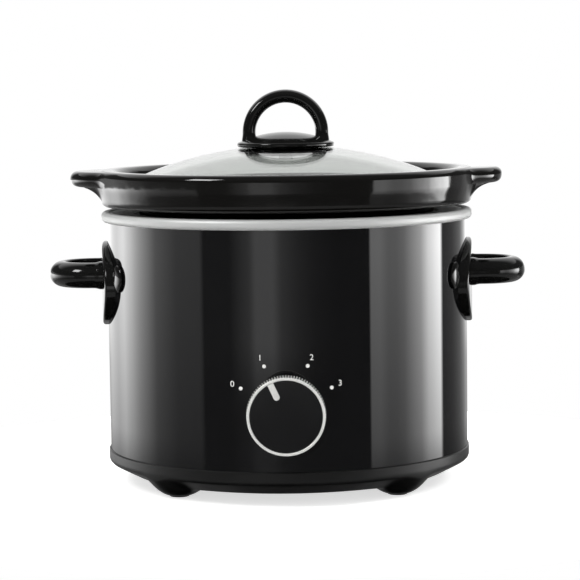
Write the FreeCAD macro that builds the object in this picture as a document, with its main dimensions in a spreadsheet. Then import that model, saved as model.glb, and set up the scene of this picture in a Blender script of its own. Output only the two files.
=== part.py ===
import FreeCAD, Part
import math
import os

import Sketcher

# A small round slow cooker. Millimetres, +Z up, knob towards -Y, handles along X.
# The origin lies on the axis of the shell, on the plane that the foot pads stand on.

Vector = FreeCAD.Vector
Rotation = FreeCAD.Rotation
Placement = FreeCAD.Placement

SIZES = {
    # Wrap of painted steel
    "shell_radius": "100",
    "shell_wall": "0.8",
    "shell_height": "130",
    # Moulded base and its foot pads
    "pad_proud": "0.8",
    "pad_radius": "5.5",
    "pad_thickness": "2",
    "hump_depth": "4.7",
    "hump_radius": "15",
    "hump_round": "8",
    "hump_circle": "83",
    "base_wall": "2.5",
    "base_rise": "7",
    "base_run": "13.5",
    "band_height": "6.7",
    "lip_wall": "1.2",
    "lip_overlap": "3.2",
    "shell_clearance": "0.3",
    "spigot_height": "8",
    "spigot_wall": "2",
    # Heating pan with a rolled rim, and the stud that draws the base up to it
    "heater_space": "14.4",
    "pan_wall": "0.8",
    "switch_room": "5.5",
    "pan_corner": "10",
    "roll_radius": "2.5",
    "roll_offset": "0.5",
    "roll_lip": "2",
    "stud_radius": "2.5",
    "stud_flange_radius": "8",
    "stud_flange_wall": "1.5",
    "thread_clearance": "0.05",
    "nut_across": "8",
    "nut_height": "4",
    "nut_room": "3",
    "washer_radius": "6",
    "washer_wall": "1",
    # Heater band clamped round the pan
    "band_wall": "2.5",
    "band_tall": "38",
    "band_lift": "9",
    "band_clearance": "0.2",
    "band_gap": "10",
    "ear_wall": "1.5",
    "ear_reach": "9",
    "ear_tall": "14",
    "clamp_radius": "2",
    "clamp_head_radius": "3.5",
    "clamp_head_wall": "2.4",
    "clamp_nut_across": "7",
    "clamp_nut_wall": "3",
    "clamp_tail": "1",
    "tab_wide": "6",
    "tab_wall": "0.8",
    "tab_drop": "8",
    "tab_hold": "4",
    "tab_spread": "25",
    # Thermal fuse under the pan
    "fuse_radius": "2",
    "fuse_length": "12",
    "fuse_pin_radius": "0.6",
    "fuse_pin_length": "5",
    "fuse_setback": "45",
    "clip_wall": "0.8",
    "clip_wide": "7",
    "clip_foot": "6",
    # Insulated leads
    "lead_radius": "1.2",
    "lead_bend": "6",
    "lead_drop": "8.5",
    # Rotary switch
    "switch_wide": "24",
    "switch_tall": "20",
    "switch_deep": "12",
    "switch_setback": "3.5",
    "bushing_radius": "4.5",
    "bushing_proud": "3.5",
    "spacer_radius": "7",
    "switch_nut_across": "14",
    "switch_nut_wall": "2.5",
    "terminal_wide": "5",
    "terminal_wall": "0.8",
    "terminal_drop": "8",
    "terminal_spread": "15",
    "terminal_rows": "6",
    "shaft_radius": "3",
    "shaft_flat": "1",
    "shaft_foot": "3",
    # Knob
    "knob_height": "34.5",
    "knob_gap": "1.3",
    "knob_depth": "14.7",
    "knob_radius": "20.5",
    "ring_width": "2",
    "ring_depth": "4",
    "skirt_inset": "0.7",
    "knob_wall": "2",
    "knob_boss_radius": "5.5",
    "knob_boss_gap": "1.5",
    "face_inset": "0.6",
    "pointer_wide": "3.3",
    "pointer_long": "10.5",
    "pointer_turn": "-25",
    # Side handles
    "handle_height": "100",
    "plate_drop": "5.2",
    "plate_half_width": "40",
    "plate_half_height": "23.3",
    "plate_wall": "3.2",
    "plate_clearance": "0.1",
    "loop_reach": "32.8",
    "loop_thick": "9.3",
    "loop_height": "14",
    "loop_half_gap": "15.5",
    "loop_edge": "1.1",
    "screw_radius": "1.75",
    "screw_head_radius": "3.5",
    "screw_head_wall": "2.4",
    "screw_bite": "14",
    # Cord gland at the back
    "gland_height": "24",
    "gland_bore": "3.75",
    "gland_barrel": "5.9",
    "gland_tail": "9",
    "gland_flange_radius": "9",
    "gland_flange_wall": "3",
    "gland_snout": "13",
    "gland_snout_radius": "6.5",
    "gland_tip_radius": "5.5",
    "gland_nut_across": "16",
    "gland_nut_wall": "3",
    # Stoneware crock
    "crock_gap": "2",
    "crock_wall": "6",
    "crock_floor": "9",
    "crock_draft": "1.5",
    "crock_corner": "12",
    "bowl_corner": "14",
    "rim_gap": "3",
    "rim_height": "19",
    "rim_overhang": "2",
    "rim_wall": "12.5",
    "rim_round": "4",
    "rim_under": "5",
    "ledge_drop": "9.8",
    "mouth_round": "3",
    "lug_reach": "15",
    "lug_disc": "32",
    "lug_thick": "8.5",
    "lug_drop": "0.5",
    # Glass lid and its handle
    "lid_clearance": "3.5",
    "lid_edge": "3.6",
    "dome_radius": "211",
    "glass_wall": "4",
    "glass_hole": "3",
    "gasket_wall": "0.4",
    "gasket_clearance": "0.1",
    "gasket_radius": "18",
    "grip_radius": "27",
    "grip_edge": "2.4",
    "grip_crown": "6.7",
    "arch_radius": "20.2",
    "arch_thick": "7.4",
    "arch_depth": "13",
    "arch_rise": "6.9",
    "lid_insert_radius": "4",
    "lid_insert_height": "3.2",
    "lid_screw_radius": "2",
    "lid_screw_head_radius": "4",
    "lid_screw_head_wall": "2.6",
    "lid_washer_radius": "10",
    "lid_washer_wall": "1",
    # Common clearance of a hole round a fastener
    "hole_clearance": "0.4",
}

doc = FreeCAD.newDocument("slow_cooker")
sheet = doc.addObject("Spreadsheet::Sheet", "Size")
for row, (alias, number) in enumerate(SIZES.items(), start=1):
    sheet.set(f"A{row}", alias)
    sheet.set(f"B{row}", number)
    sheet.setAlias(f"B{row}", alias)
doc.recompute()


def value(formula):
    """The number that a formula on the sheet gives."""
    return float(sheet.evalExpression(formula))


# Worked-out heights, from the floor up
HUMP_BOTTOM = "Size.pad_proud"
BASE_FLOOR = f"({HUMP_BOTTOM} + Size.hump_depth)"
BAND_LOW = f"({BASE_FLOOR} + Size.base_rise)"
LIP_TOP = f"({BAND_LOW} + Size.band_height)"
SHELL_SEAT = f"({LIP_TOP} - Size.lip_overlap)"
SHELL_TOP = f"({SHELL_SEAT} + Size.shell_height)"
ROLL_HEIGHT = f"({SHELL_TOP} + Size.roll_radius)"
PAN_TOP = f"({SHELL_TOP} + 2 * Size.roll_radius)"
KNOB_HEIGHT = f"({SHELL_SEAT} + Size.knob_height)"
SWITCH_LOW = f"({KNOB_HEIGHT} - Size.switch_tall / 2)"
HEATER_LOW = f"({SWITCH_LOW} + Size.switch_tall + Size.switch_room)"
PAN_FLOOR = f"({HEATER_LOW} - Size.band_lift)"
PAN_UNDER = f"({PAN_FLOOR} - Size.pan_wall)"
RIM_UNDER = f"({PAN_TOP} + Size.rim_gap)"
RIM_TOP = f"({RIM_UNDER} + Size.rim_height)"
LEDGE = f"({RIM_TOP} - Size.ledge_drop)"
BOWL_FLOOR = f"({PAN_FLOOR} + Size.crock_floor)"
HANDLE_HEIGHT = f"({SHELL_SEAT} + Size.handle_height)"
GLAND_HEIGHT = f"({SHELL_SEAT} + Size.gland_height)"

# Worked-out radii, from the wrap inwards and outwards
SHELL_INNER = "(Size.shell_radius - Size.shell_wall)"
LIP_INNER = "(Size.shell_radius + Size.shell_clearance)"
BAND_OUTER = f"({LIP_INNER} + Size.lip_wall)"
PAN_OUTER = f"({SHELL_INNER} - Size.heater_space)"
PAN_INNER = f"({PAN_OUTER} - Size.pan_wall)"
ROLL_CENTRE = "(Size.shell_radius + Size.roll_offset)"
RING_OUTER = f"({ROLL_CENTRE} + Size.roll_radius)"
CROCK_OUTER = f"({PAN_INNER} - Size.crock_gap)"
BOWL_RADIUS = f"({CROCK_OUTER} - Size.crock_wall)"
RIM_OUTER = f"({RING_OUTER} + Size.rim_overhang)"
RECESS = f"({RIM_OUTER} - Size.rim_wall)"
LID_RADIUS = f"({RECESS} - Size.lid_clearance)"

# The dome of the lid: one sphere centre for the glass, the gasket and the underside of the handle
EDGE_TOP = f"({LEDGE} + Size.lid_edge)"
DOME_CENTRE = f"({EDGE_TOP} - sqrt(Size.dome_radius^2 - {LID_RADIUS}^2))"
APEX = f"({DOME_CENTRE} + Size.dome_radius)"


def sphere_height(radius, distance):
    """Height of a dome about DOME_CENTRE, of the given radius, at a distance from the axis."""
    return f"({DOME_CENTRE} + sqrt(({radius})^2 - ({distance})^2))"


nodes = []


def sub_part(item, label):
    """Gives a piece the name of its node."""
    item.Label = label
    nodes.append(item)
    return item


# Helpers for solids made of primitives

TURNS = {
    "Z": Rotation(),
    "X": Rotation(Vector(0, 1, 0), 90),
    "Y": Rotation(Vector(1, 0, 0), -90),
}


def place(item, x="0", y="0", z="0", axis="Z"):
    """Turns a piece's own Z onto an axis and binds its place to formulas."""
    item.Placement = Placement(Vector(), TURNS[axis])
    for key, formula in (("x", x), ("y", y), ("z", z)):
        item.setExpression(f"Placement.Base.{key}", formula)
    return item


def cylinder(radius, height, x="0", y="0", z="0", axis="Z"):
    item = doc.addObject("Part::Cylinder", "round")
    item.setExpression("Radius", radius)
    item.setExpression("Height", height)
    return place(item, x, y, z, axis)


def box(length, width, height, x="0", y="0", z="0"):
    item = doc.addObject("Part::Box", "block")
    item.setExpression("Length", length)
    item.setExpression("Width", width)
    item.setExpression("Height", height)
    return place(item, x, y, z)


def hexagon(across, height, x="0", y="0", z="0", axis="Z"):
    item = doc.addObject("Part::Prism", "hexagon")
    item.Polygon = 6
    item.setExpression("Circumradius", f"({across}) / sqrt(3)")
    item.setExpression("Height", height)
    return place(item, x, y, z, axis)


def fuse(*pieces):
    item = doc.addObject("Part::MultiFuse", "joined")
    item.Shapes = list(pieces)
    return item


def cut(base, *tools):
    item = doc.addObject("Part::Cut", "cut")
    item.Base = base
    item.Tool = tools[0] if len(tools) == 1 else fuse(*tools)
    return item


def group(pieces):
    item = doc.addObject("Part::Compound", "group")
    item.Links = list(pieces)
    return item


# Helpers for solids made of sketches

def origin_feature(body, role):
    return next(item for item in body.Origin.OriginFeatures if item.Role == role)


def new_body(label):
    return sub_part(doc.addObject("PartDesign::Body", label), label)


def arc_between(start, end, radius, convex):
    """Arc of under a half circle; a convex one has its centre on the left of the way along."""
    chord = end - start
    middle = (start + end) * 0.5
    left = Vector(-chord.y, chord.x, 0).normalize()
    depth = math.sqrt(max(radius ** 2 - (chord.Length / 2) ** 2, 0))
    centre = middle + left * (depth if convex else -depth)
    first, last = (start, end) if convex else (end, start)
    circle = Part.Circle(centre, Vector(0, 0, 1), radius)
    return Part.ArcOfCircle(circle, circle.parameter(first), circle.parameter(last))


def outline(body, name, plane, points, closed=True):
    """Sketch through points that are pairs of formulas, counter-clockwise round the solid.

    A third formula makes the edge that arrives at a point an arc of that radius, and a fourth
    entry, False, makes that arc a concave one.
    """
    sketch = body.newObject("Sketcher::SketchObject", name)
    sketch.AttachmentSupport = (origin_feature(body, plane), [""])
    sketch.MapMode = "FlatFace"
    spots = [Vector(value(point[0]), value(point[1]), 0) for point in points]
    count = len(points)
    edges = count if closed else count - 1
    first_end = []
    last_end = []
    for number in range(edges):
        target = points[(number + 1) % count]
        start, end = spots[number], spots[(number + 1) % count]
        if len(target) > 2:
            convex = len(target) < 4
            sketch.addGeometry(arc_between(start, end, value(target[2]), convex), False)
            first_end.append(1 if convex else 2)
            last_end.append(2 if convex else 1)
        else:
            sketch.addGeometry(Part.LineSegment(start, end), False)
            first_end.append(1)
            last_end.append(2)
    for number in range(edges if closed else edges - 1):
        following = (number + 1) % count
        sketch.addConstraint(Sketcher.Constraint(
            "Coincident", number, last_end[number], following, first_end[following]))
    for number in range(count):
        edge, end = (number, first_end[number]) if number < edges else (number - 1, last_end[number - 1])
        for kind, axis, formula, where in (
                ("DistanceX", -2, points[number][0], spots[number].x),
                ("DistanceY", -1, points[number][1], spots[number].y)):
            if formula == "0":
                sketch.addConstraint(Sketcher.Constraint("PointOnObject", edge, end, axis))
                continue
            index = sketch.addConstraint(Sketcher.Constraint(kind, -1, 1, edge, end, where))
            sketch.setExpression(f"Constraints[{index}]", formula)
    for number in range(edges):
        target = points[(number + 1) % count]
        if len(target) > 2:
            index = sketch.addConstraint(Sketcher.Constraint("Radius", number, value(target[2])))
            sketch.setExpression(f"Constraints[{index}]", target[2])
    return sketch


def shift(sketch, x="0", y="0", z="0"):
    """Moves a sketch within its plane (x, y) and along the plane's normal (z)."""
    for key, formula in (("x", x), ("y", y), ("z", z)):
        sketch.setExpression(f"AttachmentOffset.Base.{key}", formula)
    return sketch


def revolve(body, sketch, kind="Revolution"):
    """Turns a sketch about its own vertical axis, as a solid or, as a Groove, as a cut."""
    feature = body.newObject(f"PartDesign::{kind}", f"{sketch.Name}_{kind.lower()}")
    feature.Profile = sketch
    feature.ReferenceAxis = (sketch, ["V_Axis"])
    feature.Angle = 360
    doc.recompute()
    return feature


def lathe(label, points):
    """One turned piece about Z."""
    body = new_body(label)
    revolve(body, outline(body, f"{label}_profile", "XZ_Plane", points))
    return body


# Outer shell: a rolled steel wrap, pierced for the switch, the cord gland and the handle screws

SCREW_SIDE = "(Size.loop_half_gap + Size.loop_thick / 2)"
PIERCE = "(2 * Size.heater_space)"
BUSHING_HOLE = "(Size.bushing_radius + Size.hole_clearance)"
GLAND_HOLE = "(Size.gland_barrel + Size.hole_clearance)"
SCREW_HOLE = "(Size.screw_radius + Size.hole_clearance)"
DRILL = "(Size.shell_radius + Size.shell_wall)"


def make_outer_shell():
    wrap = cut(
        cylinder("Size.shell_radius", "Size.shell_height", z=SHELL_SEAT),
        cylinder(SHELL_INNER, "Size.shell_height", z=SHELL_SEAT))
    knob_hole = cylinder(BUSHING_HOLE, PIERCE, y=f"-Size.shell_radius - {PIERCE} / 2",
                         z=KNOB_HEIGHT, axis="Y")
    gland_hole = cylinder(GLAND_HOLE, PIERCE, y=f"Size.shell_radius - {PIERCE} / 2",
                          z=GLAND_HEIGHT, axis="Y")
    screw_holes = [
        cylinder(SCREW_HOLE, f"2 * {DRILL}", x=f"-{DRILL}", y=f"{side} * {SCREW_SIDE}",
                 z=HANDLE_HEIGHT, axis="X")
        for side in (-1, 1)]
    sub_part(cut(wrap, knob_hole, gland_hole, *screw_holes), "outer_shell")


# Heating pan: a drawn well whose rim rolls out over the top edge of the shell

def make_heating_pan():
    roll_inside = "(Size.roll_radius - Size.pan_wall)"
    inner_corner = "(Size.pan_corner - Size.pan_wall)"
    lathe("heating_pan", [
        ("0", PAN_UNDER),
        (f"{PAN_OUTER} - Size.pan_corner", PAN_UNDER),
        (PAN_OUTER, f"{PAN_UNDER} + Size.pan_corner", "Size.pan_corner"),
        (PAN_OUTER, f"{PAN_TOP} - Size.pan_wall"),
        (ROLL_CENTRE, f"{PAN_TOP} - Size.pan_wall"),
        (f"{ROLL_CENTRE} + {roll_inside}", ROLL_HEIGHT, roll_inside, False),
        (ROLL_CENTRE, f"{ROLL_HEIGHT} - {roll_inside}", roll_inside, False),
        (f"{ROLL_CENTRE} - Size.roll_lip", f"{ROLL_HEIGHT} - {roll_inside}"),
        (f"{ROLL_CENTRE} - Size.roll_lip", SHELL_TOP),
        (ROLL_CENTRE, SHELL_TOP),
        (RING_OUTER, ROLL_HEIGHT, "Size.roll_radius"),
        (ROLL_CENTRE, PAN_TOP, "Size.roll_radius"),
        (PAN_INNER, PAN_TOP),
        (PAN_INNER, f"{PAN_FLOOR} + {inner_corner}"),
        (f"{PAN_INNER} - {inner_corner}", PAN_FLOOR, inner_corner, False),
        ("0", PAN_FLOOR),
    ])


# Stud under the pan, with the washer and nut that clamp base, shell and pan together

NUT_SEAT = f"({BASE_FLOOR} + Size.nut_height)"
WASHER_TOP = f"({NUT_SEAT} + Size.washer_wall)"
THREAD_HOLE = "(Size.stud_radius + Size.thread_clearance)"


def make_pan_stud():
    shank = cylinder("Size.stud_radius", f"{PAN_UNDER} - {BASE_FLOOR}", z=BASE_FLOOR)
    flange = cylinder("Size.stud_flange_radius", "Size.stud_flange_wall",
                      z=f"{PAN_UNDER} - Size.stud_flange_wall")
    sub_part(fuse(shank, flange), "pan_stud")


def make_base_washer_and_nut():
    washer = cylinder("Size.washer_radius", "Size.washer_wall", z=NUT_SEAT)
    washer_hole = cylinder(f"{THREAD_HOLE} + Size.hole_clearance", "Size.washer_wall", z=NUT_SEAT)
    sub_part(cut(washer, washer_hole), "base_washer")
    nut = hexagon("Size.nut_across", "Size.nut_height", z=BASE_FLOOR)
    nut_hole = cylinder(THREAD_HOLE, "Size.nut_height", z=BASE_FLOOR)
    sub_part(cut(nut, nut_hole), "base_nut")


# Base: a moulded dish with a lip round the shell and four hollow humps that carry the pads

# The humps stand at 45 degrees to the axes
HUMP_PLACE = "(Size.hump_circle * sqrt(0.5))"


def make_base():
    body = new_body("base")
    spigot_outer = f"({SHELL_INNER} - Size.shell_clearance)"
    spigot_inner = f"({spigot_outer} - Size.spigot_wall)"
    spigot_top = f"({SHELL_SEAT} + Size.spigot_height)"
    bottom_radius = f"({BAND_OUTER} - Size.base_run)"
    inside_floor = f"({BASE_FLOOR} + Size.base_wall)"
    nut_well = "(Size.washer_radius + Size.nut_room)"
    boss = f"({nut_well} + Size.base_wall)"
    boss_top = f"({WASHER_TOP} + Size.base_wall)"
    stud_hole = f"({THREAD_HOLE} + Size.hole_clearance)"
    revolve(body, outline(body, "dish", "XZ_Plane", [
        (nut_well, BASE_FLOOR),
        (bottom_radius, BASE_FLOOR),
        (BAND_OUTER, BAND_LOW),
        (BAND_OUTER, LIP_TOP),
        (LIP_INNER, LIP_TOP),
        (LIP_INNER, SHELL_SEAT),
        (spigot_outer, SHELL_SEAT),
        (spigot_outer, spigot_top),
        (spigot_inner, spigot_top),
        (spigot_inner, f"{SHELL_SEAT} - Size.base_wall"),
        (f"{bottom_radius} - Size.base_wall / 2", inside_floor),
        (boss, inside_floor),
        (boss, boss_top),
        (stud_hole, boss_top),
        (stud_hole, WASHER_TOP),
        (nut_well, WASHER_TOP),
    ]))
    hump_top = f"({SHELL_SEAT} - Size.base_wall)"
    pad_well = "(Size.pad_radius + Size.thread_clearance)"
    pad_roof = "Size.pad_thickness"
    hump_flat = "(Size.hump_radius - Size.hump_round)"
    hump = revolve(body, shift(outline(body, "hump", "XZ_Plane", [
        ("0", pad_roof),
        (pad_well, pad_roof),
        (pad_well, HUMP_BOTTOM),
        (hump_flat, HUMP_BOTTOM),
        ("Size.hump_radius", f"{HUMP_BOTTOM} + Size.hump_round", "Size.hump_round"),
        ("Size.hump_radius", hump_top),
        ("0", hump_top),
    ]), x=HUMP_PLACE, z=HUMP_PLACE))
    core = revolve(body, shift(outline(body, "hump_core", "XZ_Plane", [
        ("0", f"{pad_roof} + Size.base_wall"),
        (hump_flat, f"{pad_roof} + Size.base_wall"),
        ("Size.hump_radius - Size.base_wall", f"{HUMP_BOTTOM} + Size.hump_round"),
        ("Size.hump_radius - Size.base_wall", f"{hump_top} + Size.spigot_height"),
        ("0", f"{hump_top} + Size.spigot_height"),
    ]), x=HUMP_PLACE, z=HUMP_PLACE), "Groove")
    pattern = body.newObject("PartDesign::PolarPattern", "humps")
    pattern.Originals = [hump, core]
    pattern.Axis = (origin_feature(body, "Z_Axis"), [""])
    pattern.Angle = 360
    pattern.Occurrences = 4
    body.Tip = pattern


def make_foot_pads():
    sub_part(group(
        cylinder("Size.pad_radius", "Size.pad_thickness",
                 x=f"{right} * {HUMP_PLACE}", y=f"{back} * {HUMP_PLACE}")
        for right in (-1, 1) for back in (-1, 1)), "foot_pads")


# Heater band: a sheathed element strapped round the pan, its gap closed by a clamp screw at the back

BAND_INNER = f"({PAN_OUTER} + Size.band_clearance)"
HEATER_OUTER = f"({BAND_INNER} + Size.band_wall)"
HEATER_MIDDLE = f"({HEATER_LOW} + Size.band_tall / 2)"
EAR_FACE = "(Size.band_gap / 2 + Size.ear_wall)"
CLAMP_OUT = f"({HEATER_OUTER} + Size.ear_reach / 2)"
BAND_MIDDLE = f"({BAND_INNER} + Size.band_wall / 2)"
TAB_DEPTH = f"sqrt({BAND_MIDDLE}^2 - Size.tab_spread^2)"
TAB_LOW = f"({HEATER_LOW} - Size.tab_drop)"


def make_heater_band():
    ring = cut(
        cylinder(HEATER_OUTER, "Size.band_tall", z=HEATER_LOW),
        cylinder(BAND_INNER, "Size.band_tall", z=HEATER_LOW))
    gap = box("Size.band_gap", HEATER_OUTER, "Size.band_tall", x="-Size.band_gap / 2", z=HEATER_LOW)
    strap = cut(ring, gap)
    ear_low = f"{HEATER_MIDDLE} - Size.ear_tall / 2"
    ear_out = f"{HEATER_OUTER} + Size.ear_reach - {BAND_MIDDLE}"
    ears = [box("Size.ear_wall", ear_out, "Size.ear_tall", x=place_x, y=BAND_MIDDLE, z=ear_low)
            for place_x in ("Size.band_gap / 2", f"-{EAR_FACE}")]
    tabs = [box("Size.tab_wide", "Size.tab_wall", "Size.tab_drop + Size.tab_hold",
                x=f"{side} * Size.tab_spread - Size.tab_wide / 2",
                y=f"-{TAB_DEPTH} - Size.tab_wall / 2", z=TAB_LOW)
            for side in (-1, 1)]
    hole = cylinder("Size.clamp_radius + Size.thread_clearance", f"2 * {EAR_FACE}",
                    x=f"-{EAR_FACE}", y=CLAMP_OUT, z=HEATER_MIDDLE, axis="X")
    sub_part(cut(fuse(strap, *ears, *tabs), hole), "heater_band")


def make_clamp_screw_and_nut():
    shank = cylinder("Size.clamp_radius", f"2 * {EAR_FACE} + Size.clamp_nut_wall + Size.clamp_tail",
                     x=f"-{EAR_FACE}", y=CLAMP_OUT, z=HEATER_MIDDLE, axis="X")
    head = cylinder("Size.clamp_head_radius", "Size.clamp_head_wall",
                    x=f"-{EAR_FACE} - Size.clamp_head_wall", y=CLAMP_OUT, z=HEATER_MIDDLE, axis="X")
    sub_part(fuse(shank, head), "clamp_screw")
    nut = hexagon("Size.clamp_nut_across", "Size.clamp_nut_wall",
                  x=EAR_FACE, y=CLAMP_OUT, z=HEATER_MIDDLE, axis="X")
    hole = cylinder("Size.clamp_radius + Size.thread_clearance", "Size.clamp_nut_wall",
                    x=EAR_FACE, y=CLAMP_OUT, z=HEATER_MIDDLE, axis="X")
    sub_part(cut(nut, hole), "clamp_nut")


# Thermal fuse held against the underside of the pan by a bent clip

FUSE_HEIGHT = f"({PAN_UNDER} - Size.fuse_radius - Size.band_clearance)"
FUSE_TIP = "(Size.fuse_length / 2 + Size.fuse_pin_length)"


def make_thermal_fuse():
    case = cylinder("Size.fuse_radius", "Size.fuse_length",
                    x="-Size.fuse_length / 2", y="-Size.fuse_setback", z=FUSE_HEIGHT, axis="X")
    pins = cylinder("Size.fuse_pin_radius", f"2 * {FUSE_TIP}",
                    x=f"-{FUSE_TIP}", y="-Size.fuse_setback", z=FUSE_HEIGHT, axis="X")
    sub_part(fuse(case, pins), "thermal_fuse")


def make_fuse_clip():
    side = "(Size.fuse_radius + Size.band_clearance)"
    drop = f"({PAN_UNDER} - {FUSE_HEIGHT} + {side})"
    saddle_half = f"({side} + Size.clip_wall)"
    left_edge = "-Size.clip_wide / 2"
    saddle = box("Size.clip_wide", f"2 * {saddle_half}", f"{drop} + Size.clip_wall",
                 x=left_edge, y=f"-Size.fuse_setback - {saddle_half}",
                 z=f"{PAN_UNDER} - {drop} - Size.clip_wall")
    room = box("2 * Size.clip_wide", f"2 * {side}", drop,
               x=f"2 * {left_edge}", y=f"-Size.fuse_setback - {side}", z=f"{PAN_UNDER} - {drop}")
    feet = box("Size.clip_wide", f"2 * ({saddle_half} + Size.clip_foot)", "Size.clip_wall",
               x=left_edge, y=f"-Size.fuse_setback - {saddle_half} - Size.clip_foot",
               z=f"{PAN_UNDER} - Size.clip_wall")
    sub_part(cut(fuse(saddle, feet), room), "fuse_clip")


# Rotary switch: its bushing passes through the shell and is held by a nut under the knob

SWITCH_FACE = f"({SHELL_INNER} - Size.switch_setback + Size.shell_wall)"
SWITCH_BACK = f"({SWITCH_FACE} - Size.switch_deep)"
BUSHING_END = "(Size.shell_radius + Size.bushing_proud)"
SHAFT_ROOT = f"({SWITCH_BACK} + Size.shaft_foot)"
SHAFT_BORE = "(Size.shaft_radius + Size.thread_clearance)"
KNOB_BACK = "(Size.shell_radius + Size.knob_gap)"
KNOB_FRONT = f"({KNOB_BACK} + Size.knob_depth)"
KNOB_FACE = f"({KNOB_FRONT} - Size.face_inset)"
BOSS_BACK = f"({BUSHING_END} + Size.knob_boss_gap)"
BORE_END = f"({KNOB_FACE} - Size.knob_wall)"
TERMINAL_LOW = f"({SWITCH_LOW} - Size.terminal_drop)"
TERMINAL_ROWS = tuple(
    f"({SWITCH_BACK} + Size.switch_deep / 2 + {row} * Size.terminal_rows / 2)" for row in (-1, 1))


def make_switch():
    case = box("Size.switch_wide", "Size.switch_deep", "Size.switch_tall",
               x="-Size.switch_wide / 2", y=f"-{SWITCH_FACE}", z=SWITCH_LOW)
    bushing = cylinder("Size.bushing_radius", f"{BUSHING_END} - {SWITCH_BACK} - Size.shaft_foot / 2",
                       y=f"-{BUSHING_END}", z=KNOB_HEIGHT, axis="Y")
    bore = cylinder(SHAFT_BORE, f"{BUSHING_END} - {SHAFT_ROOT} + Size.thread_clearance",
                    y=f"-{BUSHING_END}", z=KNOB_HEIGHT, axis="Y")
    sub_part(cut(fuse(case, bushing), bore), "switch_body")
    spacer_front = f"sqrt({SHELL_INNER}^2 - Size.spacer_radius^2)"
    spacer_wall = f"{spacer_front} - {SWITCH_FACE}"
    spacer = cylinder("Size.spacer_radius", spacer_wall, y=f"-{spacer_front}", z=KNOB_HEIGHT, axis="Y")
    spacer_hole = cylinder(BUSHING_HOLE, spacer_wall, y=f"-{spacer_front}", z=KNOB_HEIGHT, axis="Y")
    sub_part(cut(spacer, spacer_hole), "switch_spacer")
    nut_front = "-Size.shell_radius - Size.switch_nut_wall"
    nut = hexagon("Size.switch_nut_across", "Size.switch_nut_wall", y=nut_front, z=KNOB_HEIGHT, axis="Y")
    nut_hole = cylinder("Size.bushing_radius + Size.thread_clearance", "Size.switch_nut_wall",
                        y=nut_front, z=KNOB_HEIGHT, axis="Y")
    sub_part(cut(nut, nut_hole), "switch_nut")
    sub_part(group(
        box("Size.terminal_wide", "Size.terminal_wall", "Size.terminal_drop",
            x=f"{side} * Size.terminal_spread / 2 - Size.terminal_wide / 2",
            y=f"-{row} - Size.terminal_wall / 2", z=TERMINAL_LOW)
        for side in (-1, 1) for row in TERMINAL_ROWS), "switch_terminals")


def make_switch_shaft():
    rod = cylinder("Size.shaft_radius", f"{BORE_END} - {SHAFT_ROOT}",
                   y=f"-{BORE_END}", z=KNOB_HEIGHT, axis="Y")
    flat = box("2 * Size.shaft_radius", f"{BORE_END} - {BUSHING_END}", "Size.shaft_flat",
               x="-Size.shaft_radius", y=f"-{BORE_END}",
               z=f"{KNOB_HEIGHT} + Size.shaft_radius - Size.shaft_flat")
    sub_part(cut(rod, flat), "switch_shaft")


# Knob: a skirted cup with a flatted bore, a bright ring round its face and an inlaid pointer

RING_INNER = "(Size.knob_radius - Size.ring_width)"
RING_BACK = f"({KNOB_FRONT} - Size.ring_depth)"


def make_knob():
    skirt = "(Size.knob_radius - Size.skirt_inset)"
    cup = cylinder(skirt, f"{RING_BACK} - {KNOB_BACK}", y=f"-{RING_BACK}", z=KNOB_HEIGHT, axis="Y")
    cap = cylinder(f"{RING_INNER} - Size.thread_clearance", f"{KNOB_FACE} - {RING_BACK}",
                   y=f"-{KNOB_FACE}", z=KNOB_HEIGHT, axis="Y")
    hollow = cut(
        cylinder(f"{RING_INNER} - Size.knob_wall", f"{BORE_END} - {KNOB_BACK}",
                 y=f"-{BORE_END}", z=KNOB_HEIGHT, axis="Y"),
        cylinder("Size.knob_boss_radius", f"{BORE_END} - {BOSS_BACK}",
                 y=f"-{BORE_END}", z=KNOB_HEIGHT, axis="Y"))
    bore = cut(
        cylinder(SHAFT_BORE, f"{BORE_END} - {BOSS_BACK}", y=f"-{BORE_END}", z=KNOB_HEIGHT, axis="Y"),
        box(f"2 * {SHAFT_BORE}", f"{BORE_END} - {BOSS_BACK}", "Size.shaft_flat",
            x=f"-{SHAFT_BORE}", y=f"-{BORE_END}",
            z=f"{KNOB_HEIGHT} + {SHAFT_BORE} - Size.shaft_flat"))
    sub_part(cut(fuse(cup, cap), hollow, bore), "knob")


def make_knob_ring():
    ring = cylinder("Size.knob_radius", "Size.ring_depth", y=f"-{KNOB_FRONT}", z=KNOB_HEIGHT, axis="Y")
    hole = cylinder(RING_INNER, "Size.ring_depth", y=f"-{KNOB_FRONT}", z=KNOB_HEIGHT, axis="Y")
    sub_part(cut(ring, hole), "knob_ring")


def make_knob_pointer():
    outer_end = f"sqrt(({RING_INNER} - Size.thread_clearance)^2 - (Size.pointer_wide / 2)^2)"
    inner_end = f"({outer_end} - Size.pointer_long + Size.pointer_wide / 2)"
    bar = box("Size.pointer_wide", "Size.face_inset", f"{outer_end} - {inner_end}",
              x="-Size.pointer_wide / 2", y="-Size.face_inset", z=inner_end)
    tip = cylinder("Size.pointer_wide / 2", "Size.face_inset", y="-Size.face_inset", z=inner_end, axis="Y")
    pointer = fuse(bar, tip)
    pointer.Placement = Placement(Vector(), Rotation(Vector(0, 1, 0), value("Size.pointer_turn")))
    pointer.setExpression("Placement.Rotation.Angle", "Size.pointer_turn")
    pointer.setExpression("Placement.Base.y", f"-{KNOB_FACE}")
    pointer.setExpression("Placement.Base.z", KNOB_HEIGHT)
    sub_part(pointer, "knob_pointer")


# Side handles: an oval plate bent round the shell and a half-round loop for the fingers

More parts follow.
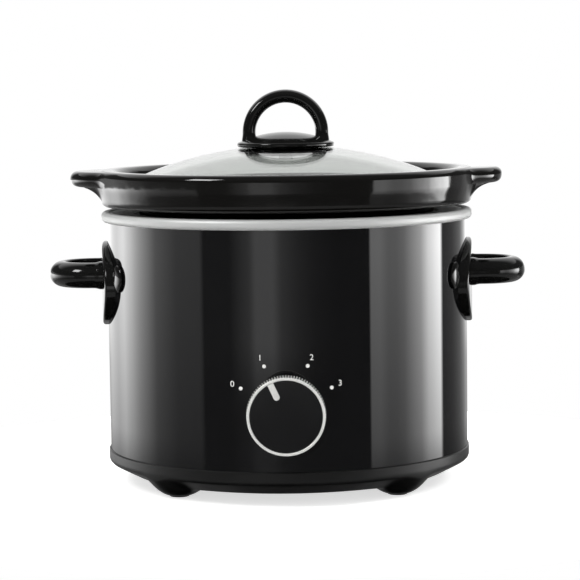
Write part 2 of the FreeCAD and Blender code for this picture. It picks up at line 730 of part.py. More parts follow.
LOOP_REACH = "(Size.shell_radius + Size.loop_reach)"
LOOP_INSIDE = f"({LOOP_REACH} - Size.loop_thick)"
LOOP_BEND = f"({LOOP_INSIDE} - Size.loop_half_gap)"
PLATE_INNER = "(Size.shell_radius + Size.plate_clearance)"
PLATE_OUTER = f"({PLATE_INNER} + Size.plate_wall)"
PLATE_HEIGHT = f"({HANDLE_HEIGHT} - Size.plate_drop)"
LOOP_ROOT = f"({SHELL_INNER} - Size.loop_thick)"


def make_loop():
    body = doc.addObject("PartDesign::Body", "loop")
    gap = "Size.loop_half_gap"
    spine = shift(outline(body, "loop_spine", "XY_Plane", [
        (LOOP_ROOT, f"-{gap}"),
        (LOOP_BEND, f"-{gap}"),
        (LOOP_INSIDE, "0", gap),
        (LOOP_BEND, gap, gap),
        (LOOP_ROOT, gap),
    ], closed=False), z=HANDLE_HEIGHT)
    half = "(Size.loop_height / 2)"
    deep = "(Size.loop_thick - Size.loop_edge)"
    bulge = f"(({half}^2 + {deep}^2) / (2 * {deep}))"
    section = shift(outline(body, "loop_section", "YZ_Plane", [
        (f"-{gap}", f"-{half}"),
        (f"-{gap}", half),
        (f"-{gap} - Size.loop_edge", half),
        (f"-{gap} - Size.loop_thick", "0", bulge),
        (f"-{gap} - Size.loop_edge", f"-{half}", bulge),
    ]), y=HANDLE_HEIGHT, z=LOOP_ROOT)
    doc.recompute()
    pipe = body.newObject("PartDesign::AdditivePipe", "loop_sweep")
    pipe.Profile = section
    pipe.Spine = (spine, [f"Edge{number}" for number in range(1, 5)])
    pipe.Mode = "Standard"
    doc.recompute()
    return body


def make_plate():
    oval = doc.addObject("Part::Ellipse", "plate_oval")
    oval.setExpression("MajorRadius", "Size.plate_half_width")
    oval.setExpression("MinorRadius", "Size.plate_half_height")
    block = doc.addObject("Part::Extrusion", "plate_block")
    block.Base = oval
    block.DirMode = "Custom"
    block.Dir = Vector(0, 0, 1)
    block.setExpression("LengthFwd", "Size.shell_radius * 2")
    block.Solid = True
    block.Placement = Placement(Vector(), Rotation(Vector(0, 1, 0), Vector(0, 0, 1), Vector(1, 0, 0), "ZXY"))
    block.setExpression("Placement.Base.z", PLATE_HEIGHT)
    slab = doc.addObject("Part::MultiCommon", "plate")
    slab.Shapes = [block, cylinder(PLATE_OUTER, "Size.shell_height", z=SHELL_SEAT)]
    return slab


def make_handles():
    blank = fuse(make_plate(), make_loop())
    inside = cylinder(PLATE_INNER, "Size.shell_height", z=SHELL_SEAT)
    pilots = [cylinder("Size.screw_radius + Size.thread_clearance", f"Size.screw_bite + {SCREW_SIDE}",
                       x=f"{PLATE_INNER} - {SCREW_SIDE}", y=f"{side} * {SCREW_SIDE}",
                       z=HANDLE_HEIGHT, axis="X")
              for side in (-1, 1)]
    right = sub_part(cut(blank, inside, *pilots), "right_handle")
    left = doc.addObject("Part::Mirroring", "left")
    left.Source = right
    left.Normal = Vector(1, 0, 0)
    sub_part(left, "left_handle")


def make_handle_screws():
    seat = f"(sqrt({SHELL_INNER}^2 - ({SCREW_SIDE} + Size.screw_head_radius)^2))"
    length = f"({PLATE_INNER} + Size.screw_bite - Size.thread_clearance - Size.screw_radius - {seat})"
    screws = []
    for front in (-1, 1):
        side_y = f"{front} * {SCREW_SIDE}"
        screws.append(fuse(
            cylinder("Size.screw_radius", length, x=seat, y=side_y, z=HANDLE_HEIGHT, axis="X"),
            cylinder("Size.screw_head_radius", "Size.screw_head_wall",
                     x=f"{seat} - Size.screw_head_wall", y=side_y, z=HANDLE_HEIGHT, axis="X")))
        screws.append(fuse(
            cylinder("Size.screw_radius", length,
                     x=f"-{seat} - {length}", y=side_y, z=HANDLE_HEIGHT, axis="X"),
            cylinder("Size.screw_head_radius", "Size.screw_head_wall",
                     x=f"-{seat}", y=side_y, z=HANDLE_HEIGHT, axis="X")))
    sub_part(group(screws), "handle_screws")


# Cord gland: a flanged bushing through the back of the shell, with its nut inside

GLAND_INSIDE = f"({SHELL_INNER} - Size.gland_tail)"
GLAND_END = "(Size.shell_radius + Size.gland_snout)"


def make_cord_gland():
    body = new_body("cord_gland")
    revolve(body, outline(body, "gland_profile", "XZ_Plane", [
        ("Size.gland_bore", GLAND_INSIDE),
        ("Size.gland_barrel", GLAND_INSIDE),
        ("Size.gland_barrel", "Size.shell_radius"),
        ("Size.gland_flange_radius", "Size.shell_radius"),
        ("Size.gland_flange_radius", "Size.shell_radius + Size.gland_flange_wall"),
        ("Size.gland_snout_radius", "Size.shell_radius + Size.gland_flange_wall"),
        ("Size.gland_tip_radius", GLAND_END),
        ("Size.gland_bore", GLAND_END),
    ]))
    place(body, z=GLAND_HEIGHT, axis="Y")
    face = f"sqrt({SHELL_INNER}^2 - Size.gland_nut_across^2 / 3)"
    nut = hexagon("Size.gland_nut_across", "Size.gland_nut_wall",
                  y=f"{face} - Size.gland_nut_wall", z=GLAND_HEIGHT, axis="Y")
    hole = cylinder("Size.gland_barrel + Size.thread_clearance", "Size.gland_nut_wall",
                    y=f"{face} - Size.gland_nut_wall", z=GLAND_HEIGHT, axis="Y")
    sub_part(cut(nut, hole), "gland_nut")


# Crock: a thick glazed bowl that stands on the floor of the pan, with a heavy rim and two lugs

def make_crock():
    body = new_body("crock")
    foot = f"({CROCK_OUTER} - Size.crock_draft)"
    neck = f"({RIM_UNDER} - Size.rim_under)"
    revolve(body, outline(body, "crock_outside", "XZ_Plane", [
        ("0", PAN_FLOOR),
        (f"{foot} - Size.crock_corner", PAN_FLOOR),
        (foot, f"{PAN_FLOOR} + Size.crock_corner", "Size.crock_corner"),
        (CROCK_OUTER, neck),
        (f"{CROCK_OUTER} + Size.rim_under", RIM_UNDER, "Size.rim_under", False),
        (f"{RIM_OUTER} - Size.rim_under", RIM_UNDER),
        (RIM_OUTER, f"{RIM_UNDER} + Size.rim_under", "Size.rim_under"),
        (RIM_OUTER, f"{RIM_TOP} - Size.rim_round"),
        (f"{RIM_OUTER} - Size.rim_round", RIM_TOP, "Size.rim_round"),
        ("0", RIM_TOP),
    ]))
    lug_half = "(Size.lug_thick / 2)"
    lug_top = f"({RIM_TOP} - Size.lug_drop)"
    lug_low = f"({lug_top} - Size.lug_thick)"
    lug_centre = f"({RIM_OUTER} + Size.lug_reach - Size.lug_disc)"
    for side in (-1, 1):
        revolve(body, shift(outline(body, "lug", "XZ_Plane", [
            ("0", lug_low),
            (f"Size.lug_disc - {lug_half}", lug_low),
            ("Size.lug_disc", f"{lug_low} + {lug_half}", lug_half),
            (f"Size.lug_disc - {lug_half}", lug_top, lug_half),
            ("0", lug_top),
        ]), x=f"{side} * {lug_centre}"))
    bowl_foot = f"({BOWL_RADIUS} - Size.crock_draft)"
    lip = "(Size.rim_round / 2)"
    revolve(body, outline(body, "crock_inside", "XZ_Plane", [
        ("0", BOWL_FLOOR),
        (f"{bowl_foot} - Size.bowl_corner", BOWL_FLOOR),
        (bowl_foot, f"{BOWL_FLOOR} + Size.bowl_corner", "Size.bowl_corner"),
        (BOWL_RADIUS, f"{LEDGE} - Size.mouth_round"),
        (f"{BOWL_RADIUS} + Size.mouth_round", LEDGE, "Size.mouth_round", False),
        (RECESS, LEDGE),
        (RECESS, f"{RIM_TOP} - {lip}"),
        (f"{RECESS} + {lip}", RIM_TOP, lip, False),
        (f"{RECESS} + {lip}", f"{RIM_TOP} + {lip}"),
        ("0", f"{RIM_TOP} + {lip}"),
    ]), "Groove")


# Lid: a domed glass, and a handle that one screw from below holds through a gasket

def make_lid_glass():
    inside = "(Size.dome_radius - Size.glass_wall)"
    seat_radius = f"sqrt({inside}^2 - ({LEDGE} - {DOME_CENTRE})^2)"
    lathe("lid_glass", [
        ("Size.glass_hole", sphere_height(inside, "Size.glass_hole")),
        (seat_radius, LEDGE, inside, False),
        (LID_RADIUS, LEDGE),
        (LID_RADIUS, EDGE_TOP),
        ("Size.glass_hole", sphere_height("Size.dome_radius", "Size.glass_hole"), "Size.dome_radius"),
    ])


GASKET_LOW = "(Size.dome_radius + Size.gasket_clearance)"
GASKET_TOP = f"({GASKET_LOW} + Size.gasket_wall)"
GRIP_UNDER = f"({GASKET_TOP} + Size.gasket_clearance)"


def make_lid_gasket():
    lathe("lid_gasket", [
        ("Size.glass_hole", sphere_height(GASKET_LOW, "Size.glass_hole")),
        ("Size.gasket_radius", sphere_height(GASKET_LOW, "Size.gasket_radius"), GASKET_LOW, False),
        ("Size.gasket_radius", sphere_height(GASKET_TOP, "Size.gasket_radius")),
        ("Size.glass_hole", sphere_height(GASKET_TOP, "Size.glass_hole"), GASKET_TOP),
    ])


INSERT_WELL = "(Size.lid_insert_radius + Size.thread_clearance)"
INSERT_LOW = sphere_height(GRIP_UNDER, "Size.glass_hole")
INSERT_TOP = f"({INSERT_LOW} + Size.lid_insert_height)"


def make_lid_handle():
    body = new_body("lid_handle")
    edge_low = sphere_height(GRIP_UNDER, "Size.grip_radius")
    edge_high = f"({edge_low} + Size.grip_edge)"
    crown = f"({DOME_CENTRE} + {GRIP_UNDER} + Size.grip_crown)"
    crown_rise = f"({crown} - {edge_high})"
    crown_radius = f"((Size.grip_radius^2 + {crown_rise}^2) / (2 * {crown_rise}))"
    revolve(body, outline(body, "grip_base", "XZ_Plane", [
        ("0", INSERT_TOP),
        (INSERT_WELL, INSERT_TOP),
        (INSERT_WELL, sphere_height(GRIP_UNDER, INSERT_WELL)),
        ("Size.grip_radius", edge_low, GRIP_UNDER, False),
        ("Size.grip_radius", edge_high),
        ("0", crown, crown_radius),
    ]))
    leg_foot = f"({edge_low} + Size.grip_edge / 2)"
    bend = f"({APEX} + Size.arch_rise)"
    spine = outline(body, "arch_spine", "XZ_Plane", [
        ("Size.arch_radius", leg_foot),
        ("Size.arch_radius", bend),
        ("0", f"{bend} + Size.arch_radius", "Size.arch_radius"),
        ("-Size.arch_radius", bend, "Size.arch_radius"),
        ("-Size.arch_radius", leg_foot),
    ], closed=False)
    half = "(Size.arch_thick / 2)"
    side = f"(Size.arch_depth / 2 - {half})"
    near = f"(Size.arch_radius - {half})"
    far = f"(Size.arch_radius + {half})"
    section = shift(outline(body, "arch_section", "XY_Plane", [
        (near, f"-{side}"),
        ("Size.arch_radius", f"-{side} - {half}", half),
        (far, f"-{side}", half),
        (far, side),
        ("Size.arch_radius", f"{side} + {half}", half),
        (near, side, half),
    ]), z=leg_foot)
    doc.recompute()
    pipe = body.newObject("PartDesign::AdditivePipe", "arch")
    pipe.Profile = section
    pipe.Spine = (spine, [f"Edge{number}" for number in range(1, 5)])
    pipe.Mode = "Standard"


def make_lid_fasteners():
    glass_under = sphere_height("Size.dome_radius - Size.glass_wall", "Size.lid_washer_radius")
    washer_low = f"({glass_under} - Size.lid_washer_wall)"
    screw_hole = "(Size.lid_screw_radius + Size.thread_clearance)"
    insert = cylinder("Size.lid_insert_radius", "Size.lid_insert_height", z=INSERT_LOW)
    sub_part(cut(insert, cylinder(screw_hole, "Size.lid_insert_height", z=INSERT_LOW)), "lid_insert")
    washer = cylinder("Size.lid_washer_radius", "Size.lid_washer_wall", z=washer_low)
    washer_hole = cylinder(f"{screw_hole} + Size.hole_clearance", "Size.lid_washer_wall", z=washer_low)
    sub_part(cut(washer, washer_hole), "lid_washer")
    shank = cylinder("Size.lid_screw_radius", f"{INSERT_TOP} - {washer_low}", z=washer_low)
    head = cylinder("Size.lid_screw_head_radius", "Size.lid_screw_head_wall",
                    z=f"{washer_low} - Size.lid_screw_head_wall")
    sub_part(fuse(shank, head), "lid_screw")


# Leads: straight runs joined by tangent arcs, from the band and the fuse to the switch

def lead(formulas):
    """Round wire through points given as formulas, with every corner an arc of the lead's bend."""
    points = [Vector(*(value(item) for item in point)) for point in formulas]
    bend = value("Size.lead_bend")
    edges = []
    start = points[0]
    for before, corner, after in zip(points, points[1:], points[2:]):
        back = (before - corner).normalize()
        ahead = (after - corner).normalize()
        half_turn = math.pi / 2 - back.getAngle(ahead) / 2
        reach = bend * math.tan(half_turn)
        first = corner + back * reach
        last = corner + ahead * reach
        inward = (back + ahead).normalize()
        middle = corner + inward * (bend / math.cos(half_turn) - bend)
        edges.append(Part.LineSegment(start, first).toShape())
        edges.append(Part.Arc(first, middle, last).toShape())
        start = last
    edges.append(Part.LineSegment(start, points[-1]).toShape())
    path = Part.Wire(edges)
    ring = Part.Wire(Part.Circle(points[0], points[1] - points[0], value("Size.lead_radius")).toShape())
    return path.makePipeShell([ring], True, False)


def make_leads():
    low = f"({TERMINAL_LOW} - Size.lead_drop)"
    rear_row, front_row = TERMINAL_ROWS
    drop_depth = f"({SWITCH_BACK} - 2 * Size.lead_bend)"
    turn_out = f"({FUSE_TIP} + 2 * Size.lead_bend)"
    band_leads = []
    fuse_leads = []
    for side in (-1, 1):
        post = f"{side} * Size.terminal_spread / 2"
        band_leads.append(lead([
            (f"{side} * Size.tab_spread", f"-{TAB_DEPTH}", TAB_LOW),
            (f"{side} * Size.tab_spread", f"-{TAB_DEPTH}", low),
            (post, f"-{front_row}", low),
            (post, f"-{front_row}", TERMINAL_LOW),
        ]))
        fuse_leads.append(lead([
            (f"{side} * {FUSE_TIP}", "-Size.fuse_setback", FUSE_HEIGHT),
            (f"{side} * {turn_out}", "-Size.fuse_setback", FUSE_HEIGHT),
            (f"{side} * {turn_out}", f"-{drop_depth}", FUSE_HEIGHT),
            (f"{side} * {turn_out}", f"-{drop_depth}", f"{low} - Size.lead_bend"),
            (post, f"-{rear_row}", f"{low} - Size.lead_bend"),
            (post, f"-{rear_row}", TERMINAL_LOW),
        ]))
    for label, solids in (("band_leads", band_leads), ("fuse_leads", fuse_leads)):
        item = doc.addObject("Part::Feature", label)
        item.Shape = Part.makeCompound(solids)
        item.Placement = Placement()
        sub_part(item, label)


make_outer_shell()
make_heating_pan()
make_pan_stud()
make_base()
make_foot_pads()
make_base_washer_and_nut()
make_heater_band()
make_clamp_screw_and_nut()
make_thermal_fuse()
make_fuse_clip()
make_switch()
make_switch_shaft()
make_knob()
make_knob_ring()
make_knob_pointer()
make_handles()
make_handle_screws()
make_cord_gland()
make_crock()
make_lid_glass()
make_lid_gasket()
make_lid_handle()
make_lid_fasteners()
make_leads()
doc.recompute()

failed = [item.Label for item in doc.Objects if {"Invalid", "Error"} & set(item.State)]
failed += [item.Label for item in nodes if item.Shape.isNull() or not item.Shape.isValid()]
if failed:
    raise RuntimeError(f"not built: {failed}")

os.makedirs("parts", exist_ok=True)
for item in nodes:
    item.Shape.exportStep(f"parts/{item.Label}.step")
    room = item.Shape.BoundBox
    print(f"{item.Label}: {len(item.Shape.Solids)} solids, {item.Shape.Volume / 1000:.2f} cm3, "
          f"x {room.XMin:.1f} {room.XMax:.1f}, y {room.YMin:.1f} {room.YMax:.1f}, "
          f"z {room.ZMin:.1f} {room.ZMax:.1f}")
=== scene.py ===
# %% [markdown]
# # A small round slow cooker
#
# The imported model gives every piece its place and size. This lesson dresses it: pieces that show get a finer
# surface worked out with numpy, hidden pieces keep their solid, and every piece gets a finish made of nodes.
# All shapes are worked out in millimetres, +Z up, knob towards -Y, and turned to metres at the very end.

# %% Load the frame
import math

import bmesh
import bpy
import numpy as np
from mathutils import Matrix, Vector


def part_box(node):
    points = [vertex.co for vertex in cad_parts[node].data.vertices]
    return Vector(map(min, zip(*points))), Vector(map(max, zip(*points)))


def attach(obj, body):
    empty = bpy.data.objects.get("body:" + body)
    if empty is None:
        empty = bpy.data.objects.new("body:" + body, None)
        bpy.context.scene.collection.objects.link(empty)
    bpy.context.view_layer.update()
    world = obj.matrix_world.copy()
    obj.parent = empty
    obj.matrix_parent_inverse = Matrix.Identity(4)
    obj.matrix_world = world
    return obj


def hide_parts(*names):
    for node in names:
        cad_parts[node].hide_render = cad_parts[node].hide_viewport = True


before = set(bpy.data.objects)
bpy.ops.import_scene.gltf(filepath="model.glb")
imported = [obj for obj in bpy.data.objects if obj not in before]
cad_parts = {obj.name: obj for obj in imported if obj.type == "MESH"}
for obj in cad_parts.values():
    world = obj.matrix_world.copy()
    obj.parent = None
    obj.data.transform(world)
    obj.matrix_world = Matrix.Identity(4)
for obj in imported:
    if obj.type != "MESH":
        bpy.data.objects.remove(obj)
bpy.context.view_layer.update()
MM = 0.001

# %% [markdown]
# ## Sizes from the frame
#
# A piece that replaces a solid has to fill the same room, so the driving sizes are read from the solids'
# boxes. Only what a box can't tell, such as a wall or the round of an edge, is written here as a number.

# %% Read the driving sizes


def node_box(name):
    """Lowest and highest corner of a node, in millimetres."""
    low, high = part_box(name)
    return np.array(low) / MM, np.array(high) / MM


shell_low, shell_high = node_box("outer_shell")
pan_low, pan_high = node_box("heating_pan")
base_low, base_high = node_box("base")
pads_low, pads_high = node_box("foot_pads")
crock_low, crock_high = node_box("crock")
glass_low, glass_high = node_box("lid_glass")
grip_high = node_box("lid_handle")[1]
knob_low, knob_high = node_box("knob")
ring_low, ring_high = node_box("knob_ring")
handle_low, handle_high = node_box("right_handle")
gland_low, gland_high = node_box("cord_gland")

SHELL_RADIUS = shell_high[0]
KNOB_HEIGHT = (knob_low[2] + knob_high[2]) / 2
print(f"shell radius {SHELL_RADIUS:.1f}, rim top {crock_high[2]:.1f}, knob axis at {KNOB_HEIGHT:.1f}")

# %% [markdown]
# ## Surfaces from grids
#
# Most of this object was turned, pressed or moulded, so its surfaces are profiles carried round an axis or
# along a path. Each becomes a grid of points: one array row per profile point, one column per step of the
# way. Blender could spin a curve instead, but a grid is quick, exact and easy to bend afterwards.

# %% Profile helpers


def rounded(corners, closed=False, steps=8):
    """Outline through corners (x, y, round): each round is an arc tangent to both sides of its corner.

    The arc's points are its end radii mixed as sin((1 - t) a) and sin(t a), over sin(a), for a turn of a.
    """
    spots = np.array([corner[:2] for corner in corners], float)
    count = len(corners)
    share = np.linspace(0, 1, steps + 1)[:, None]
    runs = []
    for number, corner in enumerate(corners):
        here = spots[number]
        if corner[2] == 0 or (not closed and number in (0, count - 1)):
            runs.append(here[None])
            continue
        back = spots[number - 1] - here
        ahead = spots[(number + 1) % count] - here
        back, ahead = back / np.linalg.norm(back), ahead / np.linalg.norm(ahead)
        half = math.acos(np.clip(back @ ahead, -1, 1)) / 2
        inward = (back + ahead) / np.linalg.norm(back + ahead)
        centre = here + inward * corner[2] / math.sin(half)
        first = here + back * corner[2] / math.tan(half) - centre
        last = here + ahead * corner[2] / math.tan(half) - centre
        turn = math.pi - 2 * half
        mix = np.sin((1 - share) * turn) * first + np.sin(share * turn) * last
        runs.append(centre + mix / math.sin(turn))
    return np.vstack(runs)


def held(outline, closed=False, near=0.25):
    """The outline with two more points on each long side, close to its ends, so that flats shade flat."""
    nxt = np.roll(outline, -1, axis=0)
    side = nxt - outline
    length = np.linalg.norm(side, axis=1, keepdims=True)
    way = side / np.maximum(length, 1e-9)
    trio = np.stack([outline, outline + way * near, nxt - way * near], axis=1)
    keep = np.ones(trio.shape[:2], bool)
    keep[:, 1:] = length > 4 * near
    if not closed:
        keep[-1, 1:] = False
    return trio[keep]


def ring_section(corners):
    """Closed rounded outline with held flats, for a piece that goes round like a ring."""
    return held(rounded(corners, closed=True), closed=True)


def resampled(outline, count):
    """The same line with evenly spaced points, found by interpolation over its length."""
    length = np.r_[0, np.cumsum(np.linalg.norm(np.diff(outline, axis=0), axis=1))]
    spots = np.linspace(0, length[-1], count)
    return np.stack([np.interp(spots, length, outline[:, axis]) for axis in (0, 1)], axis=1)


def turned(outline, turns=256):
    """Surface of revolution about Z: (r, z) at angle a becomes (r cos a, r sin a, z)."""
    angle = np.linspace(0, 2 * np.pi, turns, endpoint=False)
    radius, height = outline[:, :1], outline[:, 1:]
    return np.stack([radius * np.cos(angle), radius * np.sin(angle), height + 0 * angle], axis=-1)


def facing_front(grid):
    """Turns a shape made about +Z so that its axis points to the front, -Y, through the knob's axis."""
    x, y, z = np.moveaxis(grid, -1, 0)
    return np.stack([x, -z, y + KNOB_HEIGHT], axis=-1)


def capped(grid):
    """A tube with both ends drawn together to their middle points."""
    ends = [np.broadcast_to(row.mean(axis=0), row.shape)[None] for row in (grid[0], grid[-1])]
    return np.concatenate([ends[0], grid, ends[1]])


print("helpers ready: rounded, held, ring_section, resampled, turned, facing_front, capped")

# %% [markdown]
# ## From a grid to a piece
#
# A grid is joined into quads, points that fall together (the poles of a turned shape) are merged, and the
# normals are turned outwards. Edges sharper than a set angle stay sharp. The piece then rides on its body,
# hides the solid it stands for, and takes its finish.

# %% Piece maker
SHARP_ANGLE = math.radians(38)
MERGE = 1e-7


def quads_of(rows, columns, loop_rows, start):
    """Corner numbers of the quads between neighbouring points of a grid whose columns run in a ring."""
    index = np.arange(rows * columns).reshape(rows, columns) + start
    index = np.hstack([index, index[:, :1]])
    if loop_rows:
        index = np.vstack([index, index[:1]])
    corners = (index[:-1, :-1], index[:-1, 1:], index[1:, 1:], index[1:, :-1])
    return np.stack(corners, axis=-1).reshape(-1, 4)


def mesh_of(name, grids, loop_rows=False):
    """One mesh from grids of points in millimetres."""
    faces = []
    start = 0
    for grid in grids:
        faces.append(quads_of(*grid.shape[:2], loop_rows, start))
        start += grid.shape[0] * grid.shape[1]
    points = np.vstack([grid.reshape(-1, 3) for grid in grids]) * MM
    mesh = bpy.data.meshes.new(name)
    mesh.from_pydata(points, [], np.vstack(faces).tolist())
    work = bmesh.new()
    work.from_mesh(mesh)
    bmesh.ops.remove_doubles(work, verts=work.verts, dist=MERGE)
    bmesh.ops.recalc_face_normals(work, faces=work.faces)
    work.to_mesh(mesh)
    work.free()
    mesh.polygons.foreach_set("use_smooth", np.ones(len(mesh.polygons), bool))
    mesh.set_sharp_from_angle(angle=SHARP_ANGLE)
    return mesh


def piece(name, mesh, body, finish, stands_for=None):
    """A mesh becomes a piece of the object: it rides on a body and takes a finish."""
    item = bpy.data.objects.new(name, mesh)
    bpy.context.scene.collection.objects.link(item)
    mesh.materials.clear()
    mesh.materials.append(finish)
    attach(item, body)
    if stands_for:
        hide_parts(stands_for)
    print(f"{name}: {len(mesh.polygons)} faces on {body}")
    return item


def grid_piece(name, grids, body, finish, stands_for=None, loop_rows=False):
    """A piece straight from its grids; loop_rows joins the last row of each to its first."""
    return piece(name, mesh_of(name, grids, loop_rows), body, finish, stands_for)


print("edges stay sharp from", round(math.degrees(SHARP_ANGLE)), "degrees")

# %% [markdown]
# ## Nodes and colours
#
# Every finish is a small node tree that reads Object coordinates, so a pattern stays on its piece when it
# moves. One function adds a node with its settings and links; another turns an sRGB hex colour to linear.

# %% Finish helpers
MASK_SPAN = (0.3, 0.7)
GRAINS_ROUND = 40


def linear(code):
    """sRGB hex to linear: c / 12.92 below 0.04045, else ((c + 0.055) / 1.055) to the power 2.4."""
    coded = np.array([int(code[place:place + 2], 16) for place in (1, 3, 5)]) / 255
    plain = np.where(coded <= 0.04045, coded / 12.92, ((coded + 0.055) / 1.055) ** 2.4)
    return (*plain.tolist(), 1.0)


def add(tree, kind, inputs=(), **settings):
    """Adds one node: settings are its own choices, inputs are values or the sockets that feed it."""
    item = tree.nodes.new(kind)
    for key, choice in settings.items():
        setattr(item, key, choice)
    for key, source in dict(inputs).items():
        if isinstance(source, bpy.types.NodeSocket):
            tree.links.new(source, item.inputs[key])
        else:
            item.inputs[key].default_value = source
    return item


def new_finish(name):
    """An empty material with its output, and the Object coordinates that its patterns read."""
    finish = bpy.data.materials.new(name)
    finish.use_nodes = True
    tree = finish.node_tree
    tree.nodes.clear()
    output = add(tree, "ShaderNodeOutputMaterial")
    where = add(tree, "ShaderNodeTexCoord").outputs["Object"]
    return finish, tree, output, where


def per_mm(size):
    """Texture scale, in features per metre, for a feature of this size in millimetres."""
    return 1 / (size * MM)


def surfaced(tree, output, patches, skin, shades, roughness, lift, looks):
    """Ends a tree in one shader: one pattern mixes two shades and roughnesses, one makes fine bumps."""
    mask, height = patches.outputs["Fac"], skin.outputs["Fac"]
    shade = add(tree, "ShaderNodeMix", {"Factor": mask, "A": linear(shades[0]), "B": linear(shades[1])},
                data_type="RGBA")
    sheen = add(tree, "ShaderNodeMapRange", {
        "Value": mask, "From Min": MASK_SPAN[0], "From Max": MASK_SPAN[1],
        "To Min": roughness[0], "To Max": roughness[1]})
    bump = add(tree, "ShaderNodeBump", {"Height": height, "Strength": 1.0, "Distance": lift * MM})
    shader = add(tree, "ShaderNodeBsdfPrincipled", {
        "Base Color": shade.outputs["Result"], "Roughness": sheen.outputs["Result"],
        "Normal": bump.outputs["Normal"], **looks})
    tree.links.new(shader.outputs["BSDF"], output.inputs["Surface"])


def moulded(name, dark, light, roughness, ior, grain, lift, patch=18.0):
    """Finish of one solid colour: two close shades in soft patches, and a fine bumpy skin.

    grain is the width of the bumps in millimetres, lift their height, and patch the width of the shades.
    roughness is a pair: the smoothest and the roughest patch.
    """
    finish, tree, output, where = new_finish(name)
    patches = add(tree, "ShaderNodeTexNoise", {"Vector": where, "Scale": per_mm(patch), "Detail": 3.0})
    skin = add(tree, "ShaderNodeTexNoise", {"Vector": where, "Scale": per_mm(grain), "Detail": 2.0})
    surfaced(tree, output, patches, skin, (dark, light), roughness, lift, {"IOR": ior})
    return finish


def metal(name, dark, light, roughness, grain, lift, round_axis=True, share=1.0):
    """Metal finish: brushed or drawn lines that run round Z, or plain grain for small parts.

    The lines are noise on (turn, radius, height), stretched along the turn. A share below 1 is a metal seen
    through a milky oxide or lacquer.
    """
    finish, tree, output, where = new_finish(name)
    if round_axis:
        turn = add(tree, "ShaderNodeTexGradient", {"Vector": where}, gradient_type="RADIAL")
        parts = add(tree, "ShaderNodeSeparateXYZ", {"Vector": where})
        flat = add(tree, "ShaderNodeCombineXYZ", {"X": parts.outputs["X"], "Y": parts.outputs["Y"]})
        radius = add(tree, "ShaderNodeVectorMath", {0: flat.outputs["Vector"]}, operation="LENGTH")
        short_turn = add(tree, "ShaderNodeMath", {0: turn.outputs["Fac"], 1: GRAINS_ROUND * grain * MM},
                         operation="MULTIPLY")
        where = add(tree, "ShaderNodeCombineXYZ", {
            "X": short_turn.outputs["Value"], "Y": radius.outputs["Value"],
            "Z": parts.outputs["Z"]}).outputs["Vector"]
    lines = add(tree, "ShaderNodeTexNoise", {"Vector": where, "Scale": per_mm(grain), "Detail": 4.0})
    surfaced(tree, output, lines, lines, (dark, light), roughness, lift, {"Metallic": share})
    return finish


print("black at #101010 is", [round(part, 4) for part in linear("#101010")[:3]])

# %% [markdown]
# ## The finishes
#
# - Stove enamel on the steel wrap: sprayed and baked, deep gloss, with the faint orange peel of spraying.
# - Stoneware glaze on the crock: dipped and fired, very glossy, a little uneven where it ran.
# - Black ABS for the handles: moulded in a polished tool, glossy and hard.
# - ABS for the knob and polypropylene for the base: one moulded smooth, one with a fine satin spark texture.
# - Aluminised steel for the pan: drawn, so it has fine satin lines round its axis.
# - Silver lacquer on the knob's trim: sprayed, an even soft shine with no lines in it.
# - Screen ink for the dial: a flat white film, duller than the enamel round it.
# - Rubber for the pads and nylon for the gland: one pressed and dull, one moulded with a satin skin.
#
# Drawn lines, spark texture and the grain of ink and lacquer are finer on the real object. Here they are
# drawn some tenths of a millimetre wide, as coarse as they need to be to show.

# %% Finishes of the pieces that show
enamel = moulded("stove_enamel", "#070708", "#0b0b0c", (0.02, 0.05), 1.6, grain=1.6, lift=0.0006)
glaze = moulded("stoneware_glaze", "#090908", "#0e0d0c", (0.04, 0.08), 1.5, grain=14.0, lift=0.16, patch=30.0)
handle_abs = moulded("abs_moulding_black", "#0a0a0a", "#0f0f0e", (0.07, 0.12), 1.5, grain=4.0, lift=0.004)
abs_black = moulded("abs_gloss_black", "#0a0a0b", "#0e0e0f", (0.06, 0.12), 1.54, grain=3.0, lift=0.003)
polypropylene = moulded("polypropylene_satin", "#0a0a0a", "#101010", (0.36, 0.44), 1.5, grain=0.5, lift=0.02)
pad_rubber = moulded("foot_rubber", "#0c0c0c", "#161615", (0.7, 0.85), 1.52, grain=0.6, lift=0.03)
nylon = moulded("nylon_black", "#101010", "#191918", (0.35, 0.45), 1.53, grain=0.5, lift=0.02)
print_ink = moulded("screen_ink_white", "#e6e6e2", "#f2f2ef", (0.35, 0.45), 1.5, grain=0.3, lift=0.004)
pan_metal = metal("aluminised_steel", "#cccdcc", "#dadbda", (0.48, 0.58), grain=0.5, lift=0.004, share=0.5)
bright_trim = metal("silver_lacquer_trim", "#dcdcd9", "#e8e8e5", (0.26, 0.34), grain=0.3, lift=0.002,
                    round_axis=False, share=0.35)
print("materials so far:", len(bpy.data.materials))

# %% [markdown]
# Clear soda-lime glass, pressed and tempered: it bends and reflects light, and takes only a breath of grey.

# %% Glass
RIPPLE_SIZE = 40.0
RIPPLE_LIFT = 0.02

glass, glass_tree, glass_output, glass_where = new_finish("soda_lime_glass")
ripple = add(glass_tree, "ShaderNodeTexNoise", {
    "Vector": glass_where, "Scale": per_mm(RIPPLE_SIZE), "Detail": 1.0})
wave = add(glass_tree, "ShaderNodeBump", {
    "Height": ripple.outputs["Fac"], "Strength": 1.0, "Distance": RIPPLE_LIFT * MM})
glass_shader = add(glass_tree, "ShaderNodeBsdfPrincipled", {
    "Base Color": linear("#e3e6e3"), "Roughness": 0.0, "IOR": 1.5, "Transmission Weight": 1.0,
    "Normal": wave.outputs["Normal"]})
glass_tree.links.new(glass_shader.outputs["BSDF"], glass_output.inputs["Surface"])
print("glass:", glass.name)

